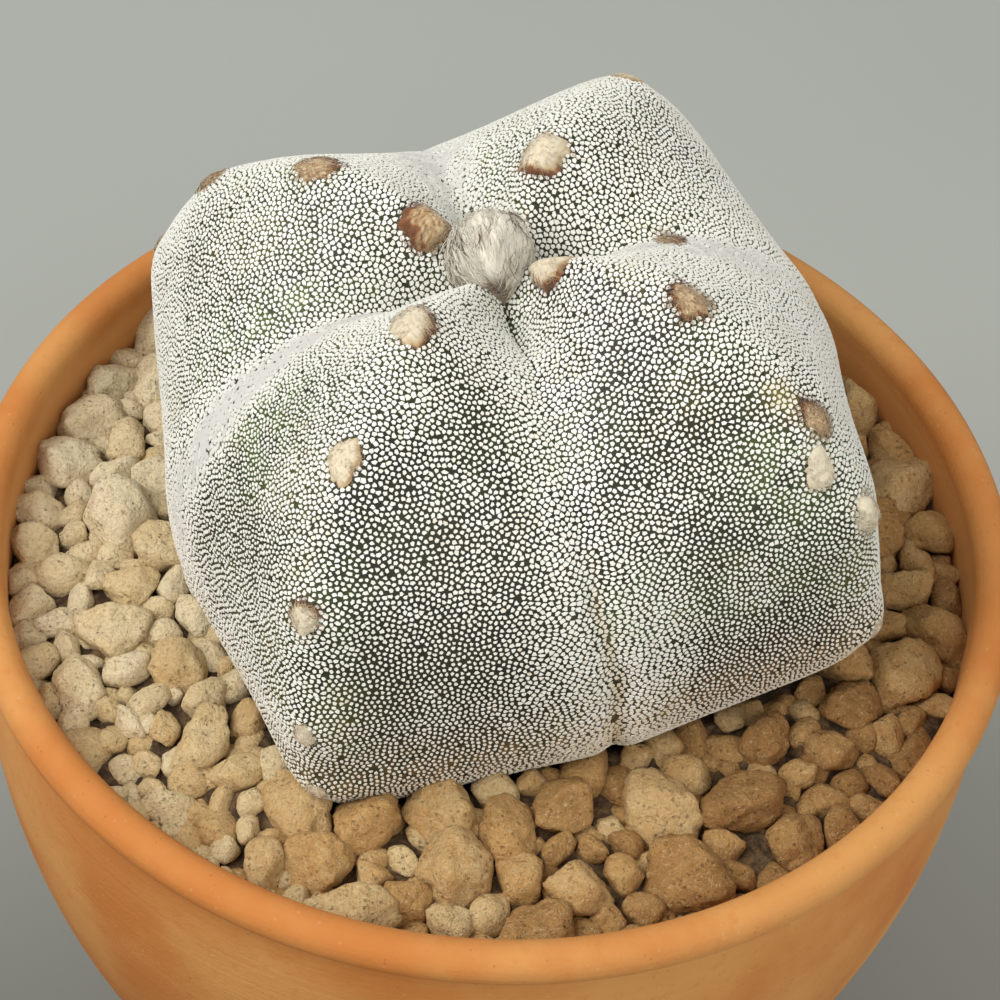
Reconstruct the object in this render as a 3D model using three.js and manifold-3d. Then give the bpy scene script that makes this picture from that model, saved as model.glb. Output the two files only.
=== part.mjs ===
// A bishop's cap cactus in a terracotta bowl pot, dressed with pale stones.
// Millimetres, +Z up. The origin is at the middle of the pot's base, on the surface it stands on.

import * as THREE from 'three';
import { mergeVertices } from 'three/addons/utils/BufferGeometryUtils.js';
import Module from 'manifold-3d';

const wasm = await Module();
wasm.setup();

const GAP = 0.3;                      // air left between pieces that touch

// Pot
const POT_HEIGHT = 84;
const RIM_OUTER_RADIUS = 55;
const LIP_RADIUS = 2.1;               // the rim is a rounded bead
const BELLY_RADIUS = 53.9;            // widest point of the wall below the rim
const BELLY_Z = 68.8;
const WALL_CURVE = 0.0049;            // how fast the wall draws in below the belly, per mm
const WALL_THICKNESS = 3.5;
const FLOOR_THICKNESS = 7;
const FLOOR_INSET = 2.4;              // the inner corner is rounded off by this much
const DRAIN_RADIUS = 4.5;
const POT_SEGMENTS = 44;
const FILL_SEGMENTS = 32;

// Plant, in a frame of its own: its origin is the middle of its widest level, and the ribs are
// numbered round from the one at the front left
const PLANT_PLACE = [2.0, 7.1, 85.1];
const PLANT_LEAN = [-1.8, -8.8];      // degrees about X and about Y
const RIB_AZIMUTHS = [-112.6, -29.4, 67.3, 154.1];
const RIB_REACHES = [44.7, 42.3, 42.1, 44.4];
const BODY_RISE = 35.5;               // from the widest level to the top of a crest curve
const BODY_POWER = 2.5;               // roundness of the profile curves; 2 would be an ellipse
const GROOVE_SHARE = 0.839;           // reach of a groove as a share of the ribs beside it
const GROOVE_DROP = 7.1;              // a groove lies this far below the crests beside it,
const GROOVE_DROP_WIDTH = 6;          // away from the middle of the crown, where all meet
const CROWN_DIP = 7.9;                // the crown's hollow, deepest in the middle
const CROWN_DIP_WIDTH = 10.2;
const FACE_BULGE = 0.3;               // how far the faces between crest and groove stand out
const CREASE_DEPTHS = [1.0, 0.4, 0.4, 0.4];  // narrow fold down the middle of each groove
const CREASE_WIDTH = 0.06;            // as a share of the way from groove to crest
const SKIRT_DEPTH = 18;               // the base curves in below the widest level
const ROOT_RINGS = [[7, -19.5], [3.6, -36]];  // radius and height of the taproot's neck and end
const ROOT_TIP_Z = -42;

// Areoles: degrees down the crest from the crown, for each rib
const AREOLE_ANGLES = [
  [15.7, 38, 63, 84, 96],
  [6, 27, 54, 74, 97],
  [11, 43, 68, 88],
  [5.6, 21, 45, 70, 90],
];
const AREOLE_SIZE = [2.5, 2.1, 0.8];  // at the crown: half length across the crest, half width, height
const AREOLE_SHRINK = 0.0062;         // share by which an areole is smaller, per degree from the crown
const AREOLE_SWELL = 0.7;             // the crest is raised a little around each areole
const AREOLE_SWELL_ANGLE = 5;
const AREOLE_SWELL_WIDTH = 0.22;

const WOOL_RADIUS = 4;
const WOOL_HEIGHT = 5.2;
const WOOL_BASE_Z = 28.7;

// Fill
const MIX_TOP_Z = 62;
const FILL_LEVELS = [MIX_TOP_Z, 48, 34, 20, FLOOR_THICKNESS + 2];
const FILL_GAP = 1.5 * GAP;           // wider at the wall, where both pieces have flat facets
const BED_EDGE_Z = 75;                // the stones' bed at the wall
const BED_MIDDLE_Z = 78;              // and where it rises to in the middle of the pot
const SHORE_Z = 79;                   // level at which stones keep clear of the plant
const STONE_COUNT = 168;
const STONE_LARGEST = 3.8;
const STONE_SMALLEST = 1.5;
const STONE_PLAIN = 2.8;              // stones with a smaller radius than this have fewer facets
const STONE_ROUNDS = 150;             // rounds of pushing apart
const STONE_PUSH = 0.4;
const WALL_ROOM = 0.9;                // room to wall and plant, as shares of a stone's radius
const PLANT_ROOM = 0.5;
const STONE_STANDING = 0.3;           // a stone's middle stands this share of its radius over the bed
const STONE_PLANES = 9;
const STONE_ROUNDNESS = 8;
const STONE_SEED = 20731;

const radians = THREE.MathUtils.degToRad;

/** Seeded draw of numbers from 0 to 1, the same on every run. */
function makeRandom(seed) {
  let state = seed >>> 0;
  return () => {
    state = (Math.imul(state, 1664525) + 1013904223) >>> 0;
    return state / 4294967296;
  };
}

// Solids and meshes

/** Turns a closed geometry into a solid that can be joined and cut. */
function solidOf(geometry) {
  const bare = geometry.clone();
  bare.deleteAttribute('normal');
  bare.deleteAttribute('uv');
  const merged = mergeVertices(bare, 1e-5);
  return new wasm.Manifold(new wasm.Mesh({
    numProp: 3,
    vertProperties: new Float32Array(merged.attributes.position.array),
    triVerts: new Uint32Array(merged.index.array),
  }));
}

/** Turns a solid back into a geometry. */
function geometryOf(solid) {
  const mesh = solid.getMesh();
  const geometry = new THREE.BufferGeometry();
  geometry.setAttribute('position', new THREE.BufferAttribute(mesh.vertProperties, 3));
  geometry.setIndex(new THREE.BufferAttribute(mesh.triVerts, 1));
  geometry.computeVertexNormals();
  return geometry;
}

/** Keeps the largest body of a solid, and drops loose scraps. */
function largestBody(solid) {
  return solid.decompose().reduce((best, body) => (body.volume() > best.volume() ? body : best));
}

/** A solid of revolution about Z, from [radius, z] points that run up the outside. */
function turned(points, segments) {
  const profile = points.map(([r, z]) => new THREE.Vector2(r, z));
  return new THREE.LatheGeometry(profile, segments).rotateX(Math.PI / 2);
}

function namedMesh(name, geometry, color, roughness) {
  const material = new THREE.MeshStandardMaterial({ color, roughness, metalness: 0 });
  const mesh = new THREE.Mesh(geometry, material);
  mesh.name = name;
  return mesh;
}

// Pot

const LIP_Z = POT_HEIGHT - LIP_RADIUS;
const LIP_CENTRE = RIM_OUTER_RADIUS - LIP_RADIUS;

/** Radius of the pot's outer wall at the height z. */
function outerWall(z) {
  return BELLY_RADIUS - WALL_CURVE * (z - BELLY_Z) ** 2;
}

/** Radius of the pot's inner wall: even thickness below the belly, straight up to the lip above it. */
function innerWall(z) {
  if (z <= BELLY_Z) return outerWall(z) - WALL_THICKNESS;
  const share = (z - BELLY_Z) / (LIP_Z - BELLY_Z);
  return THREE.MathUtils.lerp(BELLY_RADIUS - WALL_THICKNESS, LIP_CENTRE - LIP_RADIUS, share);
}

function lipArc() {
  const points = [];
  for (let degrees = -45; degrees <= 180; degrees += 37.5) {
    const a = radians(degrees);
    points.push([LIP_CENTRE + LIP_RADIUS * Math.cos(a), LIP_Z + LIP_RADIUS * Math.sin(a)]);
  }
  return points;
}

function potGeometry() {
  const footEdge = 1;
  const outside = [1, 14, 28, 42, 56, BELLY_Z, 77].map((z) => [outerWall(z), z]);
  const inside = [BELLY_Z, ...FILL_LEVELS].map((z) => [innerWall(z), z]);
  return turned([
    [DRAIN_RADIUS, 0],
    [outerWall(0) - footEdge, 0],
    ...outside,
    ...lipArc(),
    ...inside,
    [innerWall(FLOOR_THICKNESS) - FLOOR_INSET, FLOOR_THICKNESS],
    [DRAIN_RADIUS, FLOOR_THICKNESS],
    [DRAIN_RADIUS, 0],
  ], POT_SEGMENTS);
}

// Plant

const plantFrame = new THREE.Matrix4().makeTranslation(...PLANT_PLACE)
  .multiply(new THREE.Matrix4().makeRotationX(radians(PLANT_LEAN[0])))
  .multiply(new THREE.Matrix4().makeRotationY(radians(PLANT_LEAN[1])));

/** [radius, z] of a profile curve at an angle down from the crown: superellipses above and below. */
function profileAt(reach, rise, depth, angle) {
  const power = 2 / BODY_POWER;
  if (angle <= 90) {
    const a = radians(angle);
    return [reach * Math.sin(a) ** power, rise * Math.cos(a) ** power];
  }
  const b = radians(angle - 90);
  return [reach * Math.cos(b) ** power, -depth * Math.sin(b) ** power];
}

/** How much the crest of a rib swells at this angle, from the areoles that sit near it. */
function swellAt(rib, angle) {
  const near = AREOLE_ANGLES[rib].map((at) => Math.exp(-(((angle - at) / AREOLE_SWELL_ANGLE) ** 2)));
  return AREOLE_SWELL * Math.max(...near);
}

/** Eases a share from 0 to 1 so that it leaves 0 softly, which rounds a crest or a fold. */
function softened(share, softness) {
  return (Math.hypot(share, softness) - softness) / (Math.hypot(1, softness) - softness);
}

/**
 * A point of the plant's skin. The share runs across from the crest of one rib (0), through the
 * groove (0.5), to the crest of the next (1). Between crest and groove the face is a straight chord
 * in plan, rounded over at both ends, and its height runs from the crest's curve to the groove's.
 */
function skinPoint(rib, share, angle, grow) {
  const next = (rib + 1) % 4;
  const start = RIB_AZIMUTHS[rib];
  const span = (RIB_AZIMUTHS[next] - start + 360) % 360;
  const nearest = share <= 0.5 ? rib : next;
  const reach = RIB_REACHES[nearest] + grow;
  const grooveReach = GROOVE_SHARE * (RIB_REACHES[rib] + RIB_REACHES[next]) / 2 + grow;
  const fromCrest = 1 - Math.abs(1 - 2 * share);
  const crestSoftness = 0.22 - 0.12 * Math.min(angle / 90, 1);
  const across = 1 - softened(1 - softened(fromCrest, crestSoftness), 0.05);
  const rise = BODY_RISE + grow;
  const depth = SKIRT_DEPTH + grow;
  const [crestRadius, crestZ] = profileAt(reach, rise, depth, angle);
  const drop = GROOVE_DROP * (1 - Math.exp(-((crestRadius / GROOVE_DROP_WIDTH) ** 2)));
  const [grooveRadius, grooveZ] = profileAt(grooveReach, rise - drop, depth, angle);
  const half = radians(span / 2);
  const chord = crestRadius * Math.sin(half * across) + grooveRadius * Math.sin(half * (1 - across));
  const upper = Math.sin(radians(Math.min(angle, 90)));
  const swell = swellAt(nearest, angle) * Math.exp(-((fromCrest / AREOLE_SWELL_WIDTH) ** 2));
  const crease = CREASE_DEPTHS[rib] * upper * Math.exp(-(((1 - fromCrest) / CREASE_WIDTH) ** 2));
  const bulge = FACE_BULGE * Math.sin(Math.PI * across) * upper;
  const radius = crestRadius * grooveRadius * Math.sin(half) / chord + bulge - crease + swell * upper;
  const height = THREE.MathUtils.lerp(crestZ, grooveZ, across) + swell * (1 - upper);
  const dip = CROWN_DIP * Math.exp(-((radius / CROWN_DIP_WIDTH) ** 2));
  const azimuth = radians(start + share * span);
  return new THREE.Vector3(radius * Math.cos(azimuth), radius * Math.sin(azimuth), height - dip);
}

/** A closed skin over rings of points, with a point at the top and one at the bottom. */
function closedSkin(top, rings, bottom) {
  const around = rings[0].length;
  const points = [top, ...rings.flat(), bottom];
  const last = points.length - 1;
  const triangles = [];
  const at = (ring, place) => 1 + ring * around + (place % around);
  for (let place = 0; place < around; place += 1) {
    triangles.push(0, at(0, place), at(0, place + 1));
    for (let ring = 0; ring < rings.length - 1; ring += 1) {
      triangles.push(at(ring, place), at(ring + 1, place), at(ring + 1, place + 1));
      triangles.push(at(ring, place), at(ring + 1, place + 1), at(ring, place + 1));
    }
    triangles.push(last, at(rings.length - 1, place + 1), at(rings.length - 1, place));
  }
  const geometry = new THREE.BufferGeometry().setFromPoints(points);
  geometry.setIndex(triangles);
  geometry.computeVertexNormals();
  return geometry;
}

/** Places across one rib, close together at the crests and in the fold. */
const SHARES = [0, 0.05, 0.14, 0.3, 0.455, 0.5, 0.545, 0.7, 0.86, 0.95];

function ringOf(pointAt) {
  return RIB_AZIMUTHS.flatMap((_, rib) => SHARES.map((share) => pointAt(rib, share)));
}

/** The ribbed body with its taproot; grow makes the same form larger all round, for clearance. */
function bodySolid(grow) {
  const rings = [];
  for (let angle = 3; angle < 168; angle += angle < 90 ? 5.8 : 15) {
    rings.push(ringOf((rib, share) => skinPoint(rib, share, angle, grow)));
  }
  for (const [radius, z] of ROOT_RINGS) {
    rings.push(ringOf((rib, share) => {
      const skin = skinPoint(rib, share, 90, 0);
      return new THREE.Vector3(skin.x, skin.y, 0).setLength(radius + grow).setZ(z - grow);
    }));
  }
  const top = new THREE.Vector3(0, 0, BODY_RISE + grow - CROWN_DIP);
  const bottom = new THREE.Vector3(0, 0, ROOT_TIP_Z - grow);
  return solidOf(closedSkin(top, rings, bottom));
}

/** One woolly pad, lying on the skin and sunk halfway into it. */
function areolePad(rib, angle, grow) {
  const place = skinPoint(rib, 0, angle, 0);
  const down = skinPoint(rib, 0, angle + 2, 0).sub(skinPoint(rib, 0, angle - 2, 0)).normalize();
  const azimuth = radians(RIB_AZIMUTHS[rib]);
  const across = new THREE.Vector3(-Math.sin(azimuth), Math.cos(azimuth), 0);
  const outward = new THREE.Vector3().crossVectors(down, across).normalize();
  const pad = new THREE.SphereGeometry(1, 8, 5).rotateX(Math.PI / 2);
  const [long, wide, high] = AREOLE_SIZE.map((size) => size * (1 - AREOLE_SHRINK * angle) + grow);
  pad.scale(wide, long, high);
  pad.applyMatrix4(new THREE.Matrix4().makeBasis(down, across, outward));
  pad.translate(place.x, place.y, place.z);
  return solidOf(pad);
}

/** The whole plant without its crown wool, in its own frame. */
function cactusSolid(grow) {
  const pads = AREOLE_ANGLES.flatMap((angles, rib) => angles.map((a) => areolePad(rib, a, grow)));
  return wasm.Manifold.union([bodySolid(grow), ...pads]);
}

function woolSolid(clearance) {
  const dome = new THREE.SphereGeometry(1, 12, 8).rotateX(Math.PI / 2);
  dome.scale(WOOL_RADIUS, WOOL_RADIUS, WOOL_HEIGHT).translate(0, 0, WOOL_BASE_Z);
  return largestBody(solidOf(dome).subtract(clearance));
}

// Stones and mix

/** Height of the bed that carries the stones, highest in the middle of the pot. */
function bedTop(radius) {
  const share = Math.min(radius / innerWall(BED_EDGE_Z), 1);
  return THREE.MathUtils.lerp(BED_MIDDLE_Z, BED_EDGE_Z, share * share);
}

/** Room between a place in the bed and the plant's skin at the level of the stones. */
function roomToPlant(x, y, toPlant) {
  const point = new THREE.Vector3(x, y, SHORE_Z).applyMatrix4(toPlant);
  const depth = Math.min(Math.max(-point.z / SKIRT_DEPTH, 0), 1);
  const drawnIn = (1 - depth ** BODY_POWER) ** (1 / BODY_POWER);
  const azimuth = THREE.MathUtils.radToDeg(Math.atan2(point.y, point.x));
  const turn = (azimuth - RIB_AZIMUTHS[0] + 360) % 360;
  const starts = RIB_AZIMUTHS.map((a) => a - RIB_AZIMUTHS[0]);
  const rib = starts.filter((start) => start <= turn).length - 1;
  const end = rib === 3 ? 360 : starts[rib + 1];
  const skin = skinPoint(rib, (turn - starts[rib]) / (end - starts[rib]), 90, 0);
  return Math.hypot(point.x, point.y) - drawnIn * Math.hypot(skin.x, skin.y);
}

/** Keeps a stone off the wall and off the plant, by moving it straight away from them. */
function keptInBed(stone, wall, toPlant) {
  const fromAxis = Math.hypot(stone.x, stone.y);
  const beyond = Math.max(fromAxis - (wall - WALL_ROOM * stone.radius), 0);
  stone.x -= (beyond * stone.x) / fromAxis;
  stone.y -= (beyond * stone.y) / fromAxis;
  const short = Math.max(PLANT_ROOM * stone.radius - roomToPlant(stone.x, stone.y, toPlant), 0);
  const [awayX, awayY] = [stone.x - PLANT_PLACE[0], stone.y - PLANT_PLACE[1]];
  const away = Math.hypot(awayX, awayY);
  stone.x += (short * awayX) / away;
  stone.y += (short * awayY) / away;
}

/** Draws a place in the pot, again and again until it lies clear of the plant. */
function freePlace(random, wall, toPlant) {
  for (;;) {
    const radius = wall * Math.sqrt(random());
    const azimuth = 2 * Math.PI * random();
    const place = { x: radius * Math.cos(azimuth), y: radius * Math.sin(azimuth) };
    if (roomToPlant(place.x, place.y, toPlant) > 0) return place;
  }
}

/** Drops stones of mixed sizes round the plant, then lets them push each other apart. */
function placeStones(random) {
  const toPlant = plantFrame.clone().invert();
  const wall = innerWall(SHORE_Z);
  const stones = Array.from({ length: STONE_COUNT }, () => {
    const place = freePlace(random, wall, toPlant);
    const radius = STONE_SMALLEST + (STONE_LARGEST - STONE_SMALLEST) * random() ** 2;
    return { ...place, radius };
  });
  for (let round = 0; round < STONE_ROUNDS; round += 1) {
    stones.forEach((stone) => keptInBed(stone, wall, toPlant));
    const pushes = stones.map((stone) => stones.map((other) => {
      const [x, y] = [stone.x - other.x, stone.y - other.y];
      const apart = Math.hypot(x, y);
      const overlap = Math.max(stone.radius + other.radius - apart, 0);
      return apart > 0 ? [(STONE_PUSH * overlap * x) / apart, (STONE_PUSH * overlap * y) / apart] : [0, 0];
    }));
    stones.forEach((stone, index) => {
      stone.x += pushes[index].reduce((sum, push) => sum + push[0], 0);
      stone.y += pushes[index].reduce((sum, push) => sum + push[1], 0);
    });
  }
  return stones;
}

/** A random direction, even all round. */
function randomDirection(random) {
  const z = 2 * random() - 1;
  const azimuth = 2 * Math.PI * random();
  const flat = Math.sqrt(1 - z * z);
  return new THREE.Vector3(flat * Math.cos(azimuth), flat * Math.sin(azimuth), z);
}

/**
 * One worn, angular stone: a ball cut by random planes. In a given direction its surface lies at
 * one over a power mean of how far the direction points at each plane, which rounds the edges.
 */
function stoneSolid(stone, random) {
  const planes = Array.from({ length: STONE_PLANES }, () => {
    const normal = randomDirection(random);
    return { normal, distance: 0.68 + 0.28 * random() };
  });
  const stretch = [1.08 + 0.36 * random(), 0.86 + 0.22 * random(), 0.78 + 0.2 * random()];
  const turn = new THREE.Euler(0.7 * random() - 0.35, 0.7 * random() - 0.35, Math.PI * random());
  const geometry = stone.radius < STONE_PLAIN
    ? new THREE.IcosahedronGeometry(1, 0) : new THREE.DodecahedronGeometry(1, 0);
  const position = geometry.attributes.position;
  const direction = new THREE.Vector3();
  for (let i = 0; i < position.count; i += 1) {
    direction.fromBufferAttribute(position, i);
    const sum = planes.reduce((total, { normal, distance }) => (
      total + Math.max(direction.dot(normal) / distance, 0) ** STONE_ROUNDNESS), 0.85 ** STONE_ROUNDNESS);
    direction.multiplyScalar(stone.radius / sum ** (1 / STONE_ROUNDNESS));
    position.setXYZ(i, direction.x, direction.y, direction.z);
  }
  geometry.scale(...stretch);
  geometry.applyMatrix4(new THREE.Matrix4().makeRotationFromEuler(turn));
  const z = bedTop(Math.hypot(stone.x, stone.y)) + STONE_STANDING * stone.radius;
  geometry.translate(stone.x, stone.y, z);
  return solidOf(geometry);
}

/** The space inside the pot between two levels, clear of its wall. */
function potFill(bottom, tops, segments) {
  const sides = [bottom, BELLY_Z, tops[0][1]].map((z) => [innerWall(z) - FILL_GAP, z]);
  return turned([[0, bottom], ...sides, ...tops.slice(1), [0, tops[tops.length - 1][1]]], segments);
}

function dressingSolid(clearance) {
  const random = makeRandom(STONE_SEED);
  const bottom = MIX_TOP_Z + GAP;
  const edge = innerWall(BED_EDGE_Z);
  const tops = [1, 0.85, 0.65, 0.4].map((share) => [share * edge, bedTop(share * edge)]);
  const bed = solidOf(potFill(bottom, tops, FILL_SEGMENTS));
  const stones = placeStones(random).map((stone) => stoneSolid(stone, random));
  const room = solidOf(potFill(bottom, [[0, LIP_Z]], FILL_SEGMENTS));
  const pile = wasm.Manifold.union([bed, ...stones]).intersect(room);
  return largestBody(pile.subtract(clearance));
}

function mixSolid(clearance) {
  const bottom = FLOOR_THICKNESS + GAP;
  const plug = turned([
    [0, bottom],
    [innerWall(FLOOR_THICKNESS) - FLOOR_INSET - FILL_GAP, bottom],
    ...FILL_LEVELS.toReversed().map((z) => [innerWall(z) - FILL_GAP, z]),
    [0, MIX_TOP_Z],
  ], FILL_SEGMENTS);
  return largestBody(solidOf(plug).subtract(clearance));
}

// The object

const ownClearance = cactusSolid(GAP);
const clearance = solidOf(geometryOf(ownClearance).applyMatrix4(plantFrame));

const plant = new THREE.Group();
plant.applyMatrix4(plantFrame);
plant.add(namedMesh('cactus_body', geometryOf(cactusSolid(0)), 0x76816d, 0.8));
plant.add(namedMesh('crown_wool', geometryOf(woolSolid(ownClearance)), 0xcfc6b4, 0.95));

const pottedCactus = new THREE.Group();
pottedCactus.add(namedMesh('pot', potGeometry(), 0xc4814a, 0.85));
pottedCactus.add(namedMesh('potting_mix', geometryOf(mixSolid(clearance)), 0x4a3a2c, 0.95));
pottedCactus.add(namedMesh('top_dressing', geometryOf(dressingSolid(clearance)), 0xb59f7d, 0.9));
pottedCactus.add(plant);

export default pottedCactus;
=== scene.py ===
"""A bishop's cap cactus in a terracotta bowl pot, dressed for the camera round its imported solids.

Sizes in the classes are millimetres, as in the part's source, and meshes are made in metres in the
same frame: +Z up, with the origin at the middle of the pot's base.
"""

from __future__ import annotations

import sys
import logging
import math
from dataclasses import dataclass, field
from enum import Enum

import bmesh
import bpy
import numpy as np
from mathutils import Matrix, Vector


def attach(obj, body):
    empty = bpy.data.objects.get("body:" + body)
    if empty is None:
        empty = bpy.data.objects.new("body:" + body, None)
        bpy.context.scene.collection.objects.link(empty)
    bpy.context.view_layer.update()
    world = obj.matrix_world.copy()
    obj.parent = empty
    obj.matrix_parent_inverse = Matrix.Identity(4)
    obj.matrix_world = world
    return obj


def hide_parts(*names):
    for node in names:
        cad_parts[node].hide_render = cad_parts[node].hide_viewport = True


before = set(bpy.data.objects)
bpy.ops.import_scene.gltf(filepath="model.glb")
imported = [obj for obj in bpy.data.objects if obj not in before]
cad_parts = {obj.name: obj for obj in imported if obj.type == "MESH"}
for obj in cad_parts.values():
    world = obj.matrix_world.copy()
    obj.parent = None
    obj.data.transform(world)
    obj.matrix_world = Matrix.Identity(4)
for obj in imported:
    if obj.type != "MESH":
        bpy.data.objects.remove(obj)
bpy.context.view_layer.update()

MM = 0.001
LOG = logging.getLogger("potted_cactus")

Array = np.ndarray
Colour = tuple[float, float, float]


# Numbers and shapes


class Draws:
    """The part's own seeded draw of numbers from 0 to 1, so that its stones fall in the same places."""

    def __init__(self, seed: int) -> None:
        """Starts the row of numbers at a seed."""
        self.state = seed

    def __call__(self) -> float:
        """Returns the next number, from 0 to 1."""
        self.state = (self.state * 1664525 + 1013904223) & 0xFFFFFFFF
        return self.state / 4294967296


def paint(red: float, green: float, blue: float) -> Colour:
    """Turns a screen colour, 0 to 255, into the linear colour that shaders take.

    Args:
        red: Red as a screen shows it.
        green: Green as a screen shows it.
        blue: Blue as a screen shows it.

    Returns:
        The linear colour, 0 to 1.
    """
    shown = np.array([red, green, blue]) / 255
    linear = np.where(shown <= 0.04045, shown / 12.92, ((shown + 0.055) / 1.055) ** 2.4)
    return tuple(float(x) for x in linear)


def softened(share: Array, softness: Array | float) -> Array:
    """Eases a share from 0 to 1 so that it leaves 0 softly, along a branch of a hyperbola.

    Args:
        share: Shares from 0 to 1.
        softness: How far the rounding reaches.

    Returns:
        The eased shares.
    """
    return (np.hypot(share, softness) - softness) / (np.hypot(1, softness) - softness)


def eased(value: Array, low: float, high: float) -> Array:
    """Smooth step: 0 below low, 1 above high, 3t^2 - 2t^3 between them.

    Args:
        value: Any numbers.
        low: Where the step starts.
        high: Where it ends.

    Returns:
        Numbers from 0 to 1.
    """
    share = np.clip((value - low) / (high - low), 0, 1)
    return share * share * (3 - 2 * share)


def ripples(points: Array, size: float, seed: int, waves: int = 14) -> Array:
    """Smooth noise, about -1 to 1: the sum of sine waves that run in random directions.

    Args:
        points: Places, the last axis being x, y, z.
        size: Length of the longest wave; the others go down to half of it.
        seed: Which noise it is.
        waves: How many waves are summed.

    Returns:
        One number for each place.
    """
    rng = np.random.default_rng(seed)
    way = rng.normal(size=(3, waves))
    way /= np.linalg.norm(way, axis=0) * size * rng.uniform(0.5, 1, waves)
    turn = points @ (2 * np.pi * way) + rng.uniform(0, 2 * np.pi, waves)
    return np.sin(turn).sum(-1) * math.sqrt(2 / waves) / 1.5


def unit(vectors: Array) -> Array:
    """Scales vectors to length 1.

    Args:
        vectors: Vectors along the last axis.

    Returns:
        Vectors of length 1 in the same directions.
    """
    return vectors / np.maximum(np.linalg.norm(vectors, axis=-1, keepdims=True), 1e-12)


def grid_faces(rows: int, columns: int, looped: bool = False) -> Array:
    """Quads of a grid that closes round its columns; they face outwards where rows x columns does.

    Args:
        rows: Number of rings.
        columns: Points in a ring.
        looped: Whether the last ring joins the first.

    Returns:
        Corner numbers, four to a face.
    """
    row = np.arange(rows if looped else rows - 1)[:, None]
    column = np.arange(columns)[None, :]
    here, below = row * columns, (row + 1) % rows * columns
    right = (column + 1) % columns
    return np.stack([here + column, below + column, below + right, here + right], -1).reshape(-1, 4)


def cap_faces(tip: int, ring: Array, downwards: bool) -> Array:
    """A fan of triangles that closes a ring with one point.

    Args:
        tip: Number of the point.
        ring: Numbers of the ring's points, anticlockwise from above.
        downwards: Whether the fan faces down.

    Returns:
        Corner numbers, three to a face.
    """
    after = np.roll(ring, -1)
    pair = (after, ring) if downwards else (ring, after)
    return np.stack([np.full(len(ring), tip), *pair], -1)


def ball(subdivisions: int) -> tuple[Array, Array]:
    """A unit ball of even triangles.

    Args:
        subdivisions: Each one more gives four times the faces; 1 is an icosahedron.

    Returns:
        Its points, and the corner numbers of its faces.
    """
    shell, mesh = bmesh.new(), bpy.data.meshes.new("ball")
    bmesh.ops.create_icosphere(shell, subdivisions=subdivisions, radius=1)
    shell.to_mesh(mesh)
    shell.free()
    points, corners = np.zeros(len(mesh.vertices) * 3), np.zeros(len(mesh.loops), int)
    mesh.vertices.foreach_get("co", points)
    mesh.loops.foreach_get("vertex_index", corners)
    bpy.data.meshes.remove(mesh)
    return points.reshape(-1, 3), corners.reshape(-1, 3)


def close_pairs(points: Array, reach: float) -> tuple[Array, Array]:
    """Pairs of points within a distance of each other.

    The points are sorted into cubes with that distance as their side, so that both points of a pair
    lie in one cube or in two that touch.

    Args:
        points: The points.
        reach: The distance.

    Returns:
        Numbers of the one and of the other point, the lower number first.
    """
    cube = np.floor((points - points.min(0)) / reach).astype(np.int64) + 1
    size = cube.max(0) + 2
    key = (cube[:, 0] * size[1] + cube[:, 1]) * size[2] + cube[:, 2]
    order = np.argsort(key)
    ones, others = [], []
    for x, y, z in np.ndindex(3, 3, 3):
        shifted = key + ((x - 1) * size[1] + y - 1) * size[2] + z - 1
        first, last = (np.searchsorted(key[order], shifted, side) for side in ("left", "right"))
        start = np.cumsum(last - first) - (last - first)
        one = np.repeat(np.arange(len(points)), last - first)
        other = order[np.arange(len(one)) - np.repeat(start - first, last - first)]
        close = (one < other) & (np.linalg.norm(points[one] - points[other], axis=1) < reach)
        ones.append(one[close])
        others.append(other[close])
    return np.concatenate(ones), np.concatenate(others)


def strands(lines: Array, width: Array) -> tuple[Array, Array]:
    """Three-sided hairs, pointed at both ends, each carried along its own line.

    Args:
        lines: Centrelines, as hair, place along it, x y z.
        width: Half width of each hair at its middle; it narrows as the sine of the way along.

    Returns:
        The points, and the corner numbers of the faces.
    """
    hairs, places, _ = lines.shape
    along = unit(np.gradient(lines, axis=1))
    side = unit(np.cross(along, np.roll(along, 1, axis=-1) + np.array([0.3, 0.5, 0.7])))
    other = np.cross(along, side)
    share = np.sin(np.pi * np.linspace(0.12, 0.88, places))[None, 1:-1, None, None]
    corner = (2 * np.pi * np.arange(3) / 3)[None, None, :, None]
    ring = side[:, 1:-1, None] * np.cos(corner) + other[:, 1:-1, None] * np.sin(corner)
    rings = lines[:, 1:-1, None] + ring * share * width[:, None, None, None]
    points = np.concatenate([rings.reshape(hairs, -1, 3), lines[:, :1], lines[:, -1:]], axis=1)
    tube = grid_faces(places - 2, 3)[:, ::-1]
    tube = np.concatenate([tube[:, :3], tube[:, [0, 2, 3]]])
    last = 3 * (places - 2)
    ends = [cap_faces(last, np.arange(3), True), cap_faces(last + 1, np.arange(last - 3, last), False)]
    faces = np.concatenate([tube, *ends])
    start = (np.arange(hairs) * points.shape[1])[:, None, None]
    return points.reshape(-1, 3), (start + faces).reshape(-1, 3)


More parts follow.
